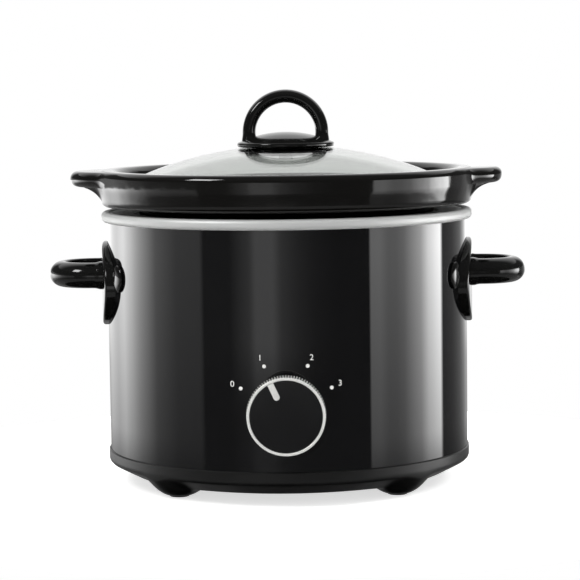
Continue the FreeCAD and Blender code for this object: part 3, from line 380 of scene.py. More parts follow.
# %% [markdown]
# ## The wrap
#
# The body is a sheet of steel rolled to a cylinder and enamelled black. Its top edge hides in the rolled rim
# of the pan and its bottom edge stands in the base. A turned profile with a fine ring of points keeps the
# long reflections straight.

# %% Shell
SHELL_WALL = 0.8


def shell_outline():
    """Closed section of the wall: outside up, inside down."""
    inner = SHELL_RADIUS - SHELL_WALL
    return np.array([(SHELL_RADIUS, shell_low[2]), (SHELL_RADIUS, shell_high[2]),
                     (inner, shell_high[2]), (inner, shell_low[2])])


shell_grid = turned(held(shell_outline(), closed=True), turns=512)
grid_piece("shell_wrap", [shell_grid], "cooker", enamel, "outer_shell", loop_rows=True)

# %% [markdown]
# ## The heating pan
#
# A drawn well of aluminised steel. Its flange runs out over the shell and rolls down into a bead, the bright
# ring below the crock. The bead's face is nearly flat, with a soft round above and below.

# %% Pan
PAN_WALL = 0.8
PAN_RADIUS = 84.0
BEAD = 5.6
BEAD_ROUND = 2.3
BEAD_ROOT = 98.6
VALLEY = 2.6


def pan_outline():
    """From the axis under the floor, out, up the well, round the bead and back down inside."""
    ring, top, under = pan_high[0], pan_high[2], pan_low[2]
    return rounded([
        (0, under, 0), (PAN_RADIUS + PAN_WALL, under, 10), (PAN_RADIUS + PAN_WALL, top - PAN_WALL, 1.0),
        (BEAD_ROOT, top - PAN_WALL, 0.4), (BEAD_ROOT, top - BEAD, 0.4), (ring, top - BEAD, BEAD_ROUND),
        (ring, top, BEAD_ROUND), (ring - BEAD, top, BEAD_ROUND), (ring - BEAD, top - VALLEY, 1.0),
        (PAN_RADIUS, top - VALLEY, 1.6), (PAN_RADIUS, under + PAN_WALL, 9.2), (0, under + PAN_WALL, 0)])


pan_grid = turned(held(pan_outline()), turns=384)
grid_piece("pan_well", [pan_grid], "cooker", pan_metal, "heating_pan")

# %% [markdown]
# ## The base
#
# A moulded dish with a proud lip round the shell. Under it stand four humps that end in rubber pads. The
# underside is one surface: at each point the lower of the dish and the nearest hump wins, and a soft minimum
# rounds the line where they meet, as the mould's fillet does.

# %% Base
LIP_TOP = 19.2
BAND_LOW = 12.5
BASE_FLOOR = 5.5
BASE_RUN = 13.5
LIP_PROUD = 0.9
HUMP_FLAT = 4.0
HUMP_CURVE = 9.0
HUMP_BLEND = 2.4
HUMPS_END = LIP_TOP - 5.0
PAD_RADIUS = 5.5
PAD_PLACE = pads_high[0] - PAD_RADIUS
BASE_WALL = 2.5
GROOVE_ROOM = 0.15
RIB_OUTSIDE = 3.2
RIB_INSIDE = 5.0


def base_outline():
    """Under the floor from the axis, up the cone and the band, over the lip, and down inside."""
    band, groove = SHELL_RADIUS + LIP_PROUD, SHELL_RADIUS + GROOVE_ROOM
    rib_out, rib_in = SHELL_RADIUS - RIB_OUTSIDE, SHELL_RADIUS - RIB_INSIDE
    under = rounded([(0, BASE_FLOOR, 0), (band - BASE_RUN, BASE_FLOOR, 6), (band, BAND_LOW, 2.5),
                     (band, LIP_TOP, 0.7), (groove, LIP_TOP, 0.3)])
    inside = rounded([(groove, shell_low[2], 0), (rib_out, shell_low[2], 0), (rib_out, base_high[2], 0),
                      (rib_in, base_high[2], 0), (rib_in, BAND_LOW + 1.5, 0),
                      (band - BASE_RUN - 1, BASE_FLOOR + BASE_WALL, 0), (0, BASE_FLOOR + BASE_WALL, 0)])
    return under, inside


def hump_depth(x, y):
    """Height of the nearest hump's skin over the floor: flat, then a parabola, out^2 / (2 curve)."""
    away = np.hypot(np.abs(x) - PAD_PLACE, np.abs(y) - PAD_PLACE)
    return base_low[2] + np.maximum(away - HUMP_FLAT, 0) ** 2 / (2 * HUMP_CURVE)


def base_grid(turns=640, fine=1.0):
    """The turned dish, with its underside drawn down to the humps by a soft minimum.

    Where the dish is a gap g above the hump, it falls by (g + sqrt(g^2 + blend^2)) / 2.
    """
    under, inside = base_outline()
    length = np.linalg.norm(np.diff(under, axis=0), axis=1).sum()
    skin = turned(resampled(under, int(length / fine)), turns)
    x, y, z = np.moveaxis(skin, -1, 0)
    gap = z - hump_depth(x, y)
    skin[..., 2] = z - (gap + np.sqrt(gap ** 2 + HUMP_BLEND ** 2)) / 2 * (z < HUMPS_END)
    return np.concatenate([skin, turned(inside, turns)])


grid_piece("base_dish", [base_grid()], "cooker", polypropylene, "base")

# %% [markdown]
# The pads are small discs of rubber with a rounded rim, one in each hump.

# %% Foot pads


def pad_grids():
    """One turned disc, copied to the four humps."""
    disc = turned(rounded([(0, pads_low[2], 0), (PAD_RADIUS, pads_low[2], 0.7),
                           (PAD_RADIUS, pads_high[2], 0.2), (0, pads_high[2], 0)]), 48)
    corners = [(right, back, 0) for right in (-1, 1) for back in (-1, 1)]
    return [disc + PAD_PLACE * np.array(corner) for corner in corners]


grid_piece("rubber_pads", pad_grids(), "cooker", pad_rubber, "foot_pads")

# %% [markdown]
# ## The crock
#
# A thick stoneware bowl, slip cast and dipped in black glaze. Its rim is a heavy band that draws in a little
# below its waist, and two solid lugs grow out of it. A lug is a disc with a full round edge: at each height
# its outline is a circle, smaller by the inset of that round. Where the circle stands out of the rim it wins,
# softly.

# %% Crock
CROCK_RADIUS = 82.0
BOWL_RADIUS = 76.0
BOWL_FLOOR = 66.0
LEDGE = glass_low[2]
RECESS = 92.5
RIM_RADIUS = crock_high[1]
RIM_TOP = crock_high[2] + 0.8
RIM_UNDER = 154.0
RIM_FOOT = 157.6
RIM_WAIST = 164.0
RIM_DRAFT = 1.2
RIM_CHAMFER = 1.0
RIM_CORNER = 3.8
WALL_DRAFT = 1.5
WAIST_BLEND = 1.5
RIM_ROUND = 3.6
LUG_DISC = 32.0
LUG_CENTRE = crock_high[0] - LUG_DISC
LUG_HALF = 4.25
LUG_BELOW_TOP = 0.5
LUG_MIDDLE = RIM_TOP - LUG_BELOW_TOP - LUG_HALF
LUG_DROP = LUG_MIDDLE - LUG_HALF - RIM_FOOT
LUG_FILLET = 9.0
LUG_BLEND = 5.0
OVER_LUG_FROM = 1.1
HAIR = 1e-6


def soft_above(first, second, blend):
    """The larger of two values with a soft change: half of (a + b + sqrt((a - b)^2 + blend^2))."""
    return (first + second + np.sqrt((first - second) ** 2 + blend ** 2)) / 2


def rim_radius(height):
    """Radius of the plain rim: drawn in below the waist, upright above it, then a round to the top."""
    below = soft_above(RIM_WAIST - height, 0, WAIST_BLEND)
    over = np.clip(height - RIM_TOP + RIM_ROUND, 0, RIM_ROUND)
    draft = RIM_DRAFT * below / (RIM_WAIST - RIM_FOOT)
    return RIM_RADIUS - draft - RIM_ROUND + np.sqrt(RIM_ROUND ** 2 - over ** 2)


def lug_radius(height, off_axis):
    """How far the lug reaches at a height and an angle: a line from the axis cut by the lug's circle."""
    up = height - LUG_MIDDLE
    circle = LUG_DISC - LUG_HALF + np.sqrt(np.clip(LUG_HALF ** 2 - up ** 2, 0, None))
    aside = LUG_CENTRE * np.sin(off_axis)
    reach = LUG_CENTRE * np.cos(off_axis) + np.sqrt(np.clip(circle ** 2 - aside ** 2, 0, None))
    under = np.clip(1 + (up + LUG_HALF) / LUG_DROP, 0, 1)
    fillet = rim_radius(height) + LUG_FILLET * (1 - np.sqrt(1 - under ** 2))
    reach = np.where(up < -LUG_HALF - HAIR, np.minimum(reach, fillet), reach)
    return np.where(up < LUG_HALF + HAIR, reach, 0)


def crock_grid(turns=448):
    """Outline of the bowl turned about Z, with the rim's radius made larger by the lugs."""
    foot = RIM_RADIUS - RIM_DRAFT
    below = rounded([
        (0, crock_low[2], 0), (CROCK_RADIUS - WALL_DRAFT, crock_low[2], 12), (CROCK_RADIUS, RIM_UNDER, 5),
        (foot - RIM_CHAMFER, RIM_UNDER, RIM_CORNER), (foot, RIM_FOOT, 0)], steps=12)
    above = rounded([
        (RIM_RADIUS - RIM_ROUND, RIM_TOP, 0), (RECESS, RIM_TOP, 5.0), (RECESS, LEDGE, 1.2),
        (BOWL_RADIUS, LEDGE, 3), (BOWL_RADIUS - WALL_DRAFT, BOWL_FLOOR, 14), (0, BOWL_FLOOR, 0)], steps=10)
    under_lug = np.linspace(RIM_FOOT, LUG_MIDDLE - LUG_HALF, 18, endpoint=False)
    at_lug = LUG_MIDDLE + LUG_HALF * np.sin(np.linspace(-np.pi / 2, np.pi / 2, 40))
    over_lug = RIM_TOP - RIM_ROUND * (1 - np.sin(np.linspace(OVER_LUG_FROM, np.pi / 2, 10)))
    height = np.r_[under_lug, at_lug, over_lug]
    angle = np.linspace(0, 2 * np.pi, turns, endpoint=False)
    off_axis = np.abs((angle + np.pi / 2) % np.pi - np.pi / 2)
    blend = LUG_BLEND * np.clip((height - RIM_FOOT) / LUG_DROP, 0, 1)[:, None]
    plain = rim_radius(height)[:, None]
    radius = soft_above(plain, lug_radius(height[:, None], off_axis), blend)
    radius -= soft_above(plain, 0, blend) - plain
    rim = np.stack([radius * np.cos(angle), radius * np.sin(angle), height[:, None] + 0 * angle], axis=-1)
    return np.concatenate([turned(held(below)[:-1], turns), rim, turned(held(above)[1:], turns)])


grid_piece("crock_bowl", [crock_grid()], "crock", glaze, "crock")

# %% [markdown]
# ## The lid
#
# A pressed glass dome of even thickness with a flat ground edge that stands on the crock's ledge. Two
# concentric arcs, joined at the hole and at the edge, make its closed section.

# %% Lid glass
GLASS_WALL = 4.0
GLASS_HOLE = 3.0
GLASS_EDGE = 3.6
EDGE_IN = 2.0
EDGE_UP = 0.95
ARC_SHORT = 0.2
SEAT_SHORT = 0.4
LID_RADIUS = glass_high[0]
DOME_RISE = glass_high[2] - glass_low[2] - GLASS_EDGE
DOME_RADIUS = (LID_RADIUS ** 2 + DOME_RISE ** 2) / (2 * DOME_RISE)
DOME_CENTRE = glass_high[2] - DOME_RADIUS


def dome_line(radius, start, end, count=48):
    """Points (r, z) of a sphere about the dome's centre between two distances from the axis."""
    away = np.linspace(start, end, count)
    return np.stack([away, DOME_CENTRE + np.sqrt(radius ** 2 - away ** 2)], axis=1)


def glass_outline():
    """Closed section: outer arc down to the edge, round it, and the inner arc back to the hole."""
    inside = DOME_RADIUS - GLASS_WALL
    seat = math.sqrt(inside ** 2 - (glass_low[2] - DOME_CENTRE) ** 2)
    edge = rounded([(LID_RADIUS - EDGE_IN, glass_low[2] + GLASS_EDGE + EDGE_UP, 0),
                    (LID_RADIUS, glass_low[2] + GLASS_EDGE, 1.2), (LID_RADIUS, glass_low[2], 1.0),
                    (seat, glass_low[2], 0)])
    return np.vstack([dome_line(DOME_RADIUS, GLASS_HOLE, LID_RADIUS - EDGE_IN - ARC_SHORT), edge,
                      dome_line(inside, seat - SEAT_SHORT, GLASS_HOLE)])


lid_grid = turned(glass_outline(), turns=384)
grid_piece("glass_dome", [lid_grid], "lid", glass, "lid_glass", loop_rows=True)

# %% [markdown]
# The lid's handle is one moulding: a crowned disc with a rounded rim, and an arch for the fingers. The disc
# is turned. The arch is an oval section carried along a half circle, a little fuller at both feet.

# %% Lid handle
GRIP_RADIUS = grip_high[0]
GRIP_EDGE = 2.4
GRIP_ROUND = 1.15
GRIP_RIM_LIFT = 0.05
UNDER_SHORT = 1.4
CROWN_SHORT = 1.6
GRIP_UNDER = DOME_RADIUS + 0.6
GRIP_CROWN = 6.7
ARCH_RADIUS = 20.2
ARCH_THICK = 7.4
ARCH_DEPTH = 13.0
ARCH_CENTRE = grip_high[2] - ARCH_RADIUS - ARCH_THICK / 2
FOOT_FLARE = 0.14
FOOT_HEIGHT = 2.6
FOOT_SINK = 1.0
FOOT_CLEAR = 2.4
FOOT_LIFT = 4.0


def grip_disc():
    """Underside on the dome, rounded rim, crowned top as one arc up to the axis."""
    low = dome_line(GRIP_UNDER, 0, GRIP_RADIUS - UNDER_SHORT, 24)
    edge_low = DOME_CENTRE + math.sqrt(GRIP_UNDER ** 2 - GRIP_RADIUS ** 2)
    edge_high = edge_low + GRIP_EDGE
    crown = DOME_CENTRE + GRIP_UNDER + GRIP_CROWN
    rise = crown - edge_high
    ball = (GRIP_RADIUS ** 2 + rise ** 2) / (2 * rise)
    away = np.linspace(GRIP_RADIUS - CROWN_SHORT, 0, 24)
    top = np.stack([away, crown - ball + np.sqrt(ball ** 2 - away ** 2)], axis=1)
    rim = rounded([(*low[-1], 0), (GRIP_RADIUS, edge_low + GRIP_RIM_LIFT, GRIP_ROUND),
                   (GRIP_RADIUS, edge_high + GRIP_RIM_LIFT, GRIP_ROUND), (*top[0], 0)])
    return np.vstack([low[:-1], rim, top[1:]])


def oval(wide, deep, power=2.6, count=40):
    """Super-ellipse |x / a|^p + |y / b|^p = 1, through its angle."""
    angle = np.linspace(0, 2 * np.pi, count, endpoint=False)
    x, y = np.cos(angle), np.sin(angle)
    return np.stack([np.sign(x) * np.abs(x) ** (2 / power) * wide / 2,
                     np.sign(y) * np.abs(y) ** (2 / power) * deep / 2], axis=1)


def arch_grid(bends=64, legs=14):
    """The oval carried up one leg, round the half circle and down the other leg, square to the path."""
    foot = ARCH_CENTRE - (DOME_CENTRE + math.sqrt(GRIP_UNDER ** 2 - GRIP_RADIUS ** 2) + FOOT_SINK)
    turn = np.r_[np.zeros(legs), np.linspace(0, np.pi, bends), np.full(legs, np.pi)]
    rise = np.linspace(foot, 0, legs, endpoint=False)
    drop = np.r_[rise, np.zeros(bends), np.linspace(0, foot, legs + 1)[1:]]
    over_disc = np.clip(foot - drop - FOOT_CLEAR, 0, None) + FOOT_LIFT * np.sin(turn)
    flare = 1 + FOOT_FLARE * np.exp(-(over_disc / FOOT_HEIGHT) ** 2)
    across, deep = oval(ARCH_THICK, ARCH_DEPTH).T
    away = ARCH_RADIUS + across * flare[:, None]
    return capped(np.stack([away * np.cos(turn)[:, None], deep * flare[:, None],
                            ARCH_CENTRE + away * np.sin(turn)[:, None] - drop[:, None]], axis=-1))


grid_piece("grip_disc", [turned(grip_disc(), 192)], "lid", handle_abs, "lid_handle")
grid_piece("grip_arch", [arch_grid()], "lid", handle_abs)

# %% [markdown]
# ## The side handles
#
# Each handle is an oval plate, hollow to fit the shell and nearly flat outside, with a loop for the fingers
# and a small round boss at each end of the plate. The loop's section is flat towards the fingers and full
# towards the outside; it is carried along two straight legs and a half circle. The left handle is the right
# one mirrored.

# %% Side handles
LOOP_HEIGHT = 14.0
LOOP_THICK = 9.3
LOOP_HALF_GAP = 15.5
LOOP_CENTRE = 116.2
LOOP_BEND = handle_high[0] - LOOP_THICK - LOOP_HALF_GAP
LOOP_BACK = 2.4
LOOP_CORNER = 1.6
LOOP_SINK = 3.5
ROOT_SWELL = 0.10
ROOT_LIFT = 14.0
ROOT_REACH = 2.0
BOSS_ANGLE = math.radians(25.0)
BOSS_SIZE = (1.9, 6.2, 7.4)
BOSS_SEAT = 0.8
PLATE_FACE = SHELL_RADIUS + 2.8
PLATE_BEND = 180.0
PLATE_ROUND = 1.2
PLATE_FLAT = 0.95
PLATE_EDGE_FROM = 0.2
PLATE_GAP = 0.1
PLATE_HALF_WIDTH = handle_high[1] - 3.0
PLATE_HALF_HEIGHT = (handle_high[2] - handle_low[2]) / 2
PLATE_CENTRE = (handle_high[2] + handle_low[2]) / 2


def loop_section(count=56):
    """Outline (outward, up) from the inner side: a flat with soft corners, then a half oval outside."""
    half = LOOP_HEIGHT / 2
    back = rounded([(LOOP_BACK, half, 0), (0, half, LOOP_CORNER), (0, -half, LOOP_CORNER),
                    (LOOP_BACK, -half, 0)])
    angle = np.linspace(-np.pi / 2, np.pi / 2, 32)
    front = np.stack([LOOP_BACK + (LOOP_THICK - LOOP_BACK) * np.cos(angle), half * np.sin(angle)], axis=1)
    return resampled(np.vstack([back, front[1:]]), count + 1)[:-1]


def loop_grid(bends=64, legs=16):
    """The section carried along leg, half circle and leg, square to the path, and fuller at the roots."""
    straight = np.linspace(SHELL_RADIUS - LOOP_SINK, LOOP_BEND, legs, endpoint=False)
    x = np.r_[straight, np.full(bends, LOOP_BEND), straight[::-1]]
    half_turn = np.linspace(-np.pi / 2, np.pi / 2, bends)
    angle = np.r_[np.full(legs, -np.pi / 2), half_turn, np.full(legs, np.pi / 2)]
    beyond = np.clip(x + ROOT_LIFT * np.cos(angle) - PLATE_FACE, 0, None)
    swell = 1 + ROOT_SWELL * np.exp(-(beyond / ROOT_REACH) ** 2)[:, None]
    outward, up = loop_section().T
    away = LOOP_HALF_GAP + LOOP_THICK / 2 + (outward - LOOP_THICK / 2) * swell
    return capped(np.stack([x[:, None] + away * np.cos(angle)[:, None], away * np.sin(angle)[:, None],
                            LOOP_CENTRE + up * swell], axis=-1))


def boss_grid(side, turns=48, rings=24):
    """Half-sunk ball, flattened along the radius: (cos u sin v, sin u sin v, cos v) times its three sizes."""
    across = np.linspace(0, np.pi, rings)[:, None]
    around = np.linspace(0, 2 * np.pi, turns, endpoint=False)
    out = BOSS_SIZE[0] * np.cos(around) * np.sin(across) + SHELL_RADIUS + BOSS_SEAT
    along = BOSS_SIZE[1] * np.sin(around) * np.sin(across)
    up = LOOP_CENTRE + BOSS_SIZE[2] * np.cos(across) + 0 * around
    turn = side * BOSS_ANGLE
    x = out * math.cos(turn) - along * math.sin(turn)
    y = out * math.sin(turn) + along * math.cos(turn)
    return np.stack([x, y, up], axis=-1)


def plate_grid(turns=160, rings=30):
    """Polar grid on an oval: face less y^2 / (2 bend), a round edge, the side wall, then along the shell."""
    angle = np.linspace(0, 2 * np.pi, turns, endpoint=False)
    edge = PLATE_FLAT + (1 - PLATE_FLAT) * np.sin(np.linspace(PLATE_EDGE_FROM, np.pi / 2, 8))
    share = np.r_[np.linspace(0, PLATE_FLAT, rings), edge][:, None]
    y = PLATE_HALF_WIDTH * share * np.cos(angle)
    z = PLATE_CENTRE + PLATE_HALF_HEIGHT * share * np.sin(angle)
    over = np.clip((share - PLATE_FLAT) / (1 - PLATE_FLAT), 0, 1)
    face = PLATE_FACE - y ** 2 / (2 * PLATE_BEND) - PLATE_ROUND * (1 - np.sqrt(1 - over ** 2))
    seat = np.sqrt((SHELL_RADIUS + PLATE_GAP) ** 2 - y ** 2)
    depth = np.linspace(0, 1, 6)[1:-1, None]
    wall = face[-1] + (seat[-1] - face[-1]) * depth
    rim = np.ones_like(depth)
    front, back = np.stack([face, y, z], axis=-1), np.stack([seat, y, z], axis=-1)[::-1]
    return np.concatenate([front, np.stack([wall, y[-1] * rim, z[-1] * rim], axis=-1), back])


for side, name in ((1, "right"), (-1, "left")):
    turn_round = np.array([side, 1, 1])
    grips = [grid * turn_round for grid in (loop_grid(), boss_grid(1), boss_grid(-1))]
    grid_piece(f"{name}_loop", grips, "cooker", handle_abs)
    plates = [plate_grid() * turn_round]
    grid_piece(f"{name}_plate", plates, "cooker", handle_abs, f"{name}_handle")

# %% [markdown]
# ## The knob
#
# A moulded cup with a fluted skirt, a flat glossy face, a bright ring and a bright bar as its pointer.
# Behind the ring, a row of silver teeth is painted highlight: it stands for the glints of light on the
# black skirt's knurl. Flutes and teeth are real shape: the radius of the turned profile is drawn in by a
# cosine of the angle, only where a weight along the profile says so.

# %% Knob
KNOB_FRONT = -ring_low[1]
KNOB_FACE = -knob_low[1]
KNOB_BACK = -knob_high[1]
SKIRT_RADIUS = knob_high[0]
RING_RADIUS = ring_high[0] - 0.2
RING_WIDTH = 1.4
RING_SEAT = KNOB_FRONT - 1.8
# The silver row of teeth behind the ring is painted highlight, for the glints on the black skirt's knurl.
GLINT_ROW_RADIUS = ring_high[0] + 0.3
GLINT_ROW_SPAN = (KNOB_FRONT - 8.8, KNOB_FRONT - 7.2)
BORE_END = KNOB_FACE - 2.0
BORE_RADIUS = 3.05
SLEEVE_RADIUS = 5.5
SLEEVE_BACK = KNOB_BACK + 3.7
HOLLOW_RADIUS = 16.5
SEAT_GAP = 0.05
FLUTES = 60
FLUTE_DEPTH = 0.5
FLUTE_FROM = 17.5
FLUTE_FADE = 1.5
FLUTE_CLEAR = 1.0
GLINT_TEETH = 88
GLINT_ROW_DEPTH = 1.8
GLINT_ROW_SINK = 1.2
GLINT_ROW_FROM = 1.0
GLINT_ROW_FADE = 0.4


def fluted(outline, weight, count, depth, turns):
    """Turned profile whose radius is less depth times weight times (1 - cos(count a)) / 2."""
    grid = turned(outline, turns)
    angle = np.linspace(0, 2 * np.pi, turns, endpoint=False)
    less = 1 - depth * weight[:, None] * (0.5 - 0.5 * np.cos(count * angle)) / np.maximum(outline[:, :1], 1)
    grid[..., :2] *= less[..., None]
    return grid


def knob_outline():
    """From the end of the bore, round sleeve and hollow, along the skirt, and over the face to the axis."""
    face, seat = RING_RADIUS - RING_WIDTH - SEAT_GAP, RING_SEAT - SEAT_GAP
    return held(rounded([
        (0, BORE_END, 0), (BORE_RADIUS, BORE_END, 0), (BORE_RADIUS, SLEEVE_BACK, 0),
        (SLEEVE_RADIUS, SLEEVE_BACK, 0), (SLEEVE_RADIUS, BORE_END, 0), (HOLLOW_RADIUS, BORE_END, 0),
        (HOLLOW_RADIUS, KNOB_BACK, 0.3), (SKIRT_RADIUS, KNOB_BACK, 0.6), (SKIRT_RADIUS, seat, 0.5),
        (face, seat, 0), (face, KNOB_FACE, 0.25), (0, KNOB_FACE, 0)]))


def ring_outline():
    """Square section of the trim ring with soft front corners."""
    inner = RING_RADIUS - RING_WIDTH
    return ring_section([(inner, RING_SEAT, 0.1), (RING_RADIUS, RING_SEAT, 0.2),
                         (RING_RADIUS, KNOB_FRONT, 0.45), (inner, KNOB_FRONT, 0.45)])


def beads_outline():
    """Flat section of the skirt's silver teeth, a painted glint, a little wider than the ring before it."""
    inner, (back, front) = SKIRT_RADIUS - GLINT_ROW_SINK, GLINT_ROW_SPAN
    return ring_section([(inner, back, 0), (GLINT_ROW_RADIUS, back, 0.3), (GLINT_ROW_RADIUS, front, 0.3),
                         (inner, front, 0)])


skirt = knob_outline()
beyond_hollow = np.clip((skirt[:, 0] - FLUTE_FROM) / FLUTE_FADE, 0, 1)
on_skirt = beyond_hollow * (skirt[:, 1] > KNOB_BACK + FLUTE_CLEAR)
knob_grid = facing_front(fluted(skirt, on_skirt, FLUTES, FLUTE_DEPTH, FLUTES * 8))
grid_piece("knob_cup", [knob_grid], "knob", abs_black, "knob")

# Silver teeth behind the ring: a painted highlight standing for glints of light on the knurl.
glint_row = beads_outline()
glint_row_weight = np.clip((glint_row[:, 0] - SKIRT_RADIUS + GLINT_ROW_FROM) / GLINT_ROW_FADE, 0, 1)
glint_row_grid = fluted(glint_row, glint_row_weight, GLINT_TEETH, GLINT_ROW_DEPTH, GLINT_TEETH * 8)
ring_and_glint_grids = [facing_front(grid) for grid in (turned(ring_outline(), GLINT_TEETH * 4), glint_row_grid)]
grid_piece("ring_and_glint_band", ring_and_glint_grids, "knob", bright_trim, "knob_ring", loop_rows=True)

# %% [markdown]
# The pointer is a small bar with a round inner end, let into the face and joined to the ring. Its outline is
# drawn together twice, a little at the bevel and fully at the middle, so the bar is closed and soft edged.

# %% Pointer
POINTER_WIDE = 3.3
POINTER_LONG = 9.2
POINTER_TURN = math.radians(-25)
POINTER_GAP = 0.1
POINTER_SINK = 0.1
POINTER_CORNER = 0.05
POINTER_END_ROUND = POINTER_WIDE / 2 - 0.02
POINTER_BEVEL = 0.25
BEVEL_STEPS = [(0.07, 0.95), (0.0, 0.84)]


def pointer_grid(count=64):
    """Rings of one outline from the back up the side, over the bevel and in to the middle of the face."""
    outer = RING_RADIUS - RING_WIDTH - POINTER_GAP
    inner = outer - POINTER_LONG
    half = POINTER_WIDE / 2
    outline = rounded([
        (half, outer, POINTER_CORNER), (-half, outer, POINTER_CORNER), (-half, inner, POINTER_END_ROUND),
        (half, inner, POINTER_END_ROUND)], closed=True, steps=12)
    loop = resampled(np.vstack([outline, outline[:1]]), count + 1)[:-1]
    middle = np.stack([0 * loop[:, 0], np.clip(loop[:, 1], inner + half, outer - half)], axis=1)
    centre = np.tile([0, (inner + outer) / 2], (count, 1))
    back = KNOB_FACE - POINTER_SINK
    bevel = [(KNOB_FRONT - down, middle + share * (loop - middle)) for down, share in BEVEL_STEPS]
    rings = [(back, centre), (back, loop), (KNOB_FRONT - POINTER_BEVEL, loop), *bevel, (KNOB_FRONT, centre)]
    flat = np.stack([np.c_[spot, np.full(count, depth)] for depth, spot in rings])
    turn = np.array([[math.cos(POINTER_TURN), math.sin(POINTER_TURN)],
                     [-math.sin(POINTER_TURN), math.cos(POINTER_TURN)]])
    flat[..., :2] = flat[..., :2] @ turn.T
    return facing_front(flat)


grid_piece("pointer_bar", [pointer_grid()], "knob", bright_trim, "knob_pointer")

# %% [markdown]
# ## The dial
#
# Four white dots and plain numerals are screen printed on the wrap round the knob. A print is a very thin
# film, so each mark is a closed wafer laid on the cylinder. The numerals start as text, become a mesh, and
# are then laid on the wrap the same way: y follows from x on the circle.

# %% Dial marks
MARK_TURNS = [math.radians(turn) for turn in (-62, -25, 25, 62)]
DOT_CIRCLE = 26.8
DOT_RADIUS = 1.0
NUMERAL_CIRCLE = 31.8
NUMERAL_SIZE = 4.4
INK = 0.06
DOT_TOP = 0.96


def laid_on_wrap(x, z, lift):
    """Points at (x, z) of the front view, a lift above the enamel."""
    return np.stack([x, -np.sqrt((SHELL_RADIUS + lift) ** 2 - x ** 2), z + 0 * x], axis=-1)


def dot_grid(turn, count=32):
    """Wafer: rings at shares of the radius, up from the enamel and back over the top to the middle."""
    angle = np.linspace(0, 2 * np.pi, count, endpoint=False)
    share = np.array([[0.0], [1.0], [DOT_TOP], [0.0]]) * DOT_RADIUS
    lift = np.array([[0.0], [0.0], [INK], [INK]]) + 0 * angle
    x = DOT_CIRCLE * math.sin(turn) + share * np.sin(angle)
    z = KNOB_HEIGHT + DOT_CIRCLE * math.cos(turn) + share * np.cos(angle)
    return laid_on_wrap(x, z, lift)


def numeral_mesh(text, turn):
    """Text made a mesh, then laid on the wrap with its middle on the numeral circle."""
    curve = bpy.data.curves.new(f"numeral_{text}", "FONT")
    curve.body = text
    curve.size = NUMERAL_SIZE
    curve.extrude = INK / 2
    holder = bpy.data.objects.new(f"numeral_{text}", curve)
    bpy.context.scene.collection.objects.link(holder)
    bpy.context.view_layer.update()
    mesh = bpy.data.meshes.new_from_object(holder.evaluated_get(bpy.context.evaluated_depsgraph_get()))
    bpy.data.objects.remove(holder)
    flat = np.zeros(len(mesh.vertices) * 3)
    mesh.vertices.foreach_get("co", flat)
    flat = flat.reshape(-1, 3)
    flat[:, :2] -= (flat[:, :2].max(axis=0) + flat[:, :2].min(axis=0)) / 2
    x = NUMERAL_CIRCLE * math.sin(turn) + flat[:, 0]
    z = KNOB_HEIGHT + NUMERAL_CIRCLE * math.cos(turn) + flat[:, 1]
    mesh.vertices.foreach_set("co", (laid_on_wrap(x, z, flat[:, 2] + INK / 2) * MM).ravel())
    mesh.update()
    return mesh


dots = [dot_grid(turn) for turn in MARK_TURNS]
grid_piece("dial_dots", dots, "cooker", print_ink)
for number, turn in enumerate(MARK_TURNS):
    piece(f"dial_numeral_{number}", numeral_mesh(str(number), turn), "cooker", print_ink)

# %% [markdown]
# ## The cord gland
#
# At the back a moulded bushing leads the mains cord through the wrap. It is a turned nylon piece: a thick
# flange against the wrap and a tapered snout, with the bore right through.

# %% Gland
GLAND_HEIGHT = (gland_low[2] + gland_high[2]) / 2
GLAND_BORE = 3.75
GLAND_BODY = 5.9
FLANGE_BACK = SHELL_RADIUS + 3
SNOUT_ROOT, SNOUT_TIP = 6.5, 5.5


def gland_grid():
    """Closed section round the bore, turned about the bore's axis, which points to the back."""
    flange, inside, end = gland_high[0], gland_low[1], gland_high[1]
    grid = turned(ring_section([
        (GLAND_BORE, inside, 0.3), (GLAND_BODY, inside, 0.3), (GLAND_BODY, SHELL_RADIUS, 0),
        (flange, SHELL_RADIUS, 0.3), (flange, FLANGE_BACK, 0.9), (SNOUT_ROOT, FLANGE_BACK, 0.8),
        (SNOUT_TIP, end, 0.8), (GLAND_BORE, end, 0.5)]), 96)
    x, y, z = np.moveaxis(grid, -1, 0)
    return np.stack([x, z, GLAND_HEIGHT - y], axis=-1)


grid_piece("gland_bushing", [gland_grid()], "cooker", nylon, "cord_gland", loop_rows=True)

# %% [markdown]
# ## Pieces inside
#
# What is inside keeps its solid and gets the finish of what it is made of: screws and nuts of zinc plated
# steel, bright with a grey grain; a heater band in a woven glass sheath and leads in braided sleeves, pale,
# rough and dull; a fuse in an enamelled case; a switch in pale satin nylon with yellow brass blades; and a
# gasket of dull grey silicone. A solid that a finer surface stands for gets that surface's finish too.

# %% Finishes of hidden pieces
zinc = metal("zinc_plated_steel", "#a9adae", "#c3c6c5", (0.3, 0.45), grain=0.4, lift=0.002, round_axis=False)
brass = metal("rolled_brass", "#b08d4a", "#c8a862", (0.28, 0.4), grain=0.4, lift=0.002, round_axis=False)
sheath = moulded("woven_glass_sheath", "#c9c2b2", "#ddd7ca", (0.7, 0.85), 1.5, grain=0.8, lift=0.12)
sleeve = moulded("braided_glass_sleeve", "#d9d5cb", "#ebe8e0", (0.65, 0.8), 1.5, grain=0.6, lift=0.08)
fuse_case = moulded("enamelled_fuse_case", "#8f8a7c", "#a49f90", (0.3, 0.4), 1.52, grain=0.8, lift=0.01)
switch_nylon = moulded("natural_nylon", "#cfc8b6", "#dcd6c6", (0.35, 0.45), 1.53, grain=0.7, lift=0.02)
silicone = moulded("silicone_rubber", "#3a3b3b", "#484948", (0.6, 0.7), 1.43, grain=0.6, lift=0.02)

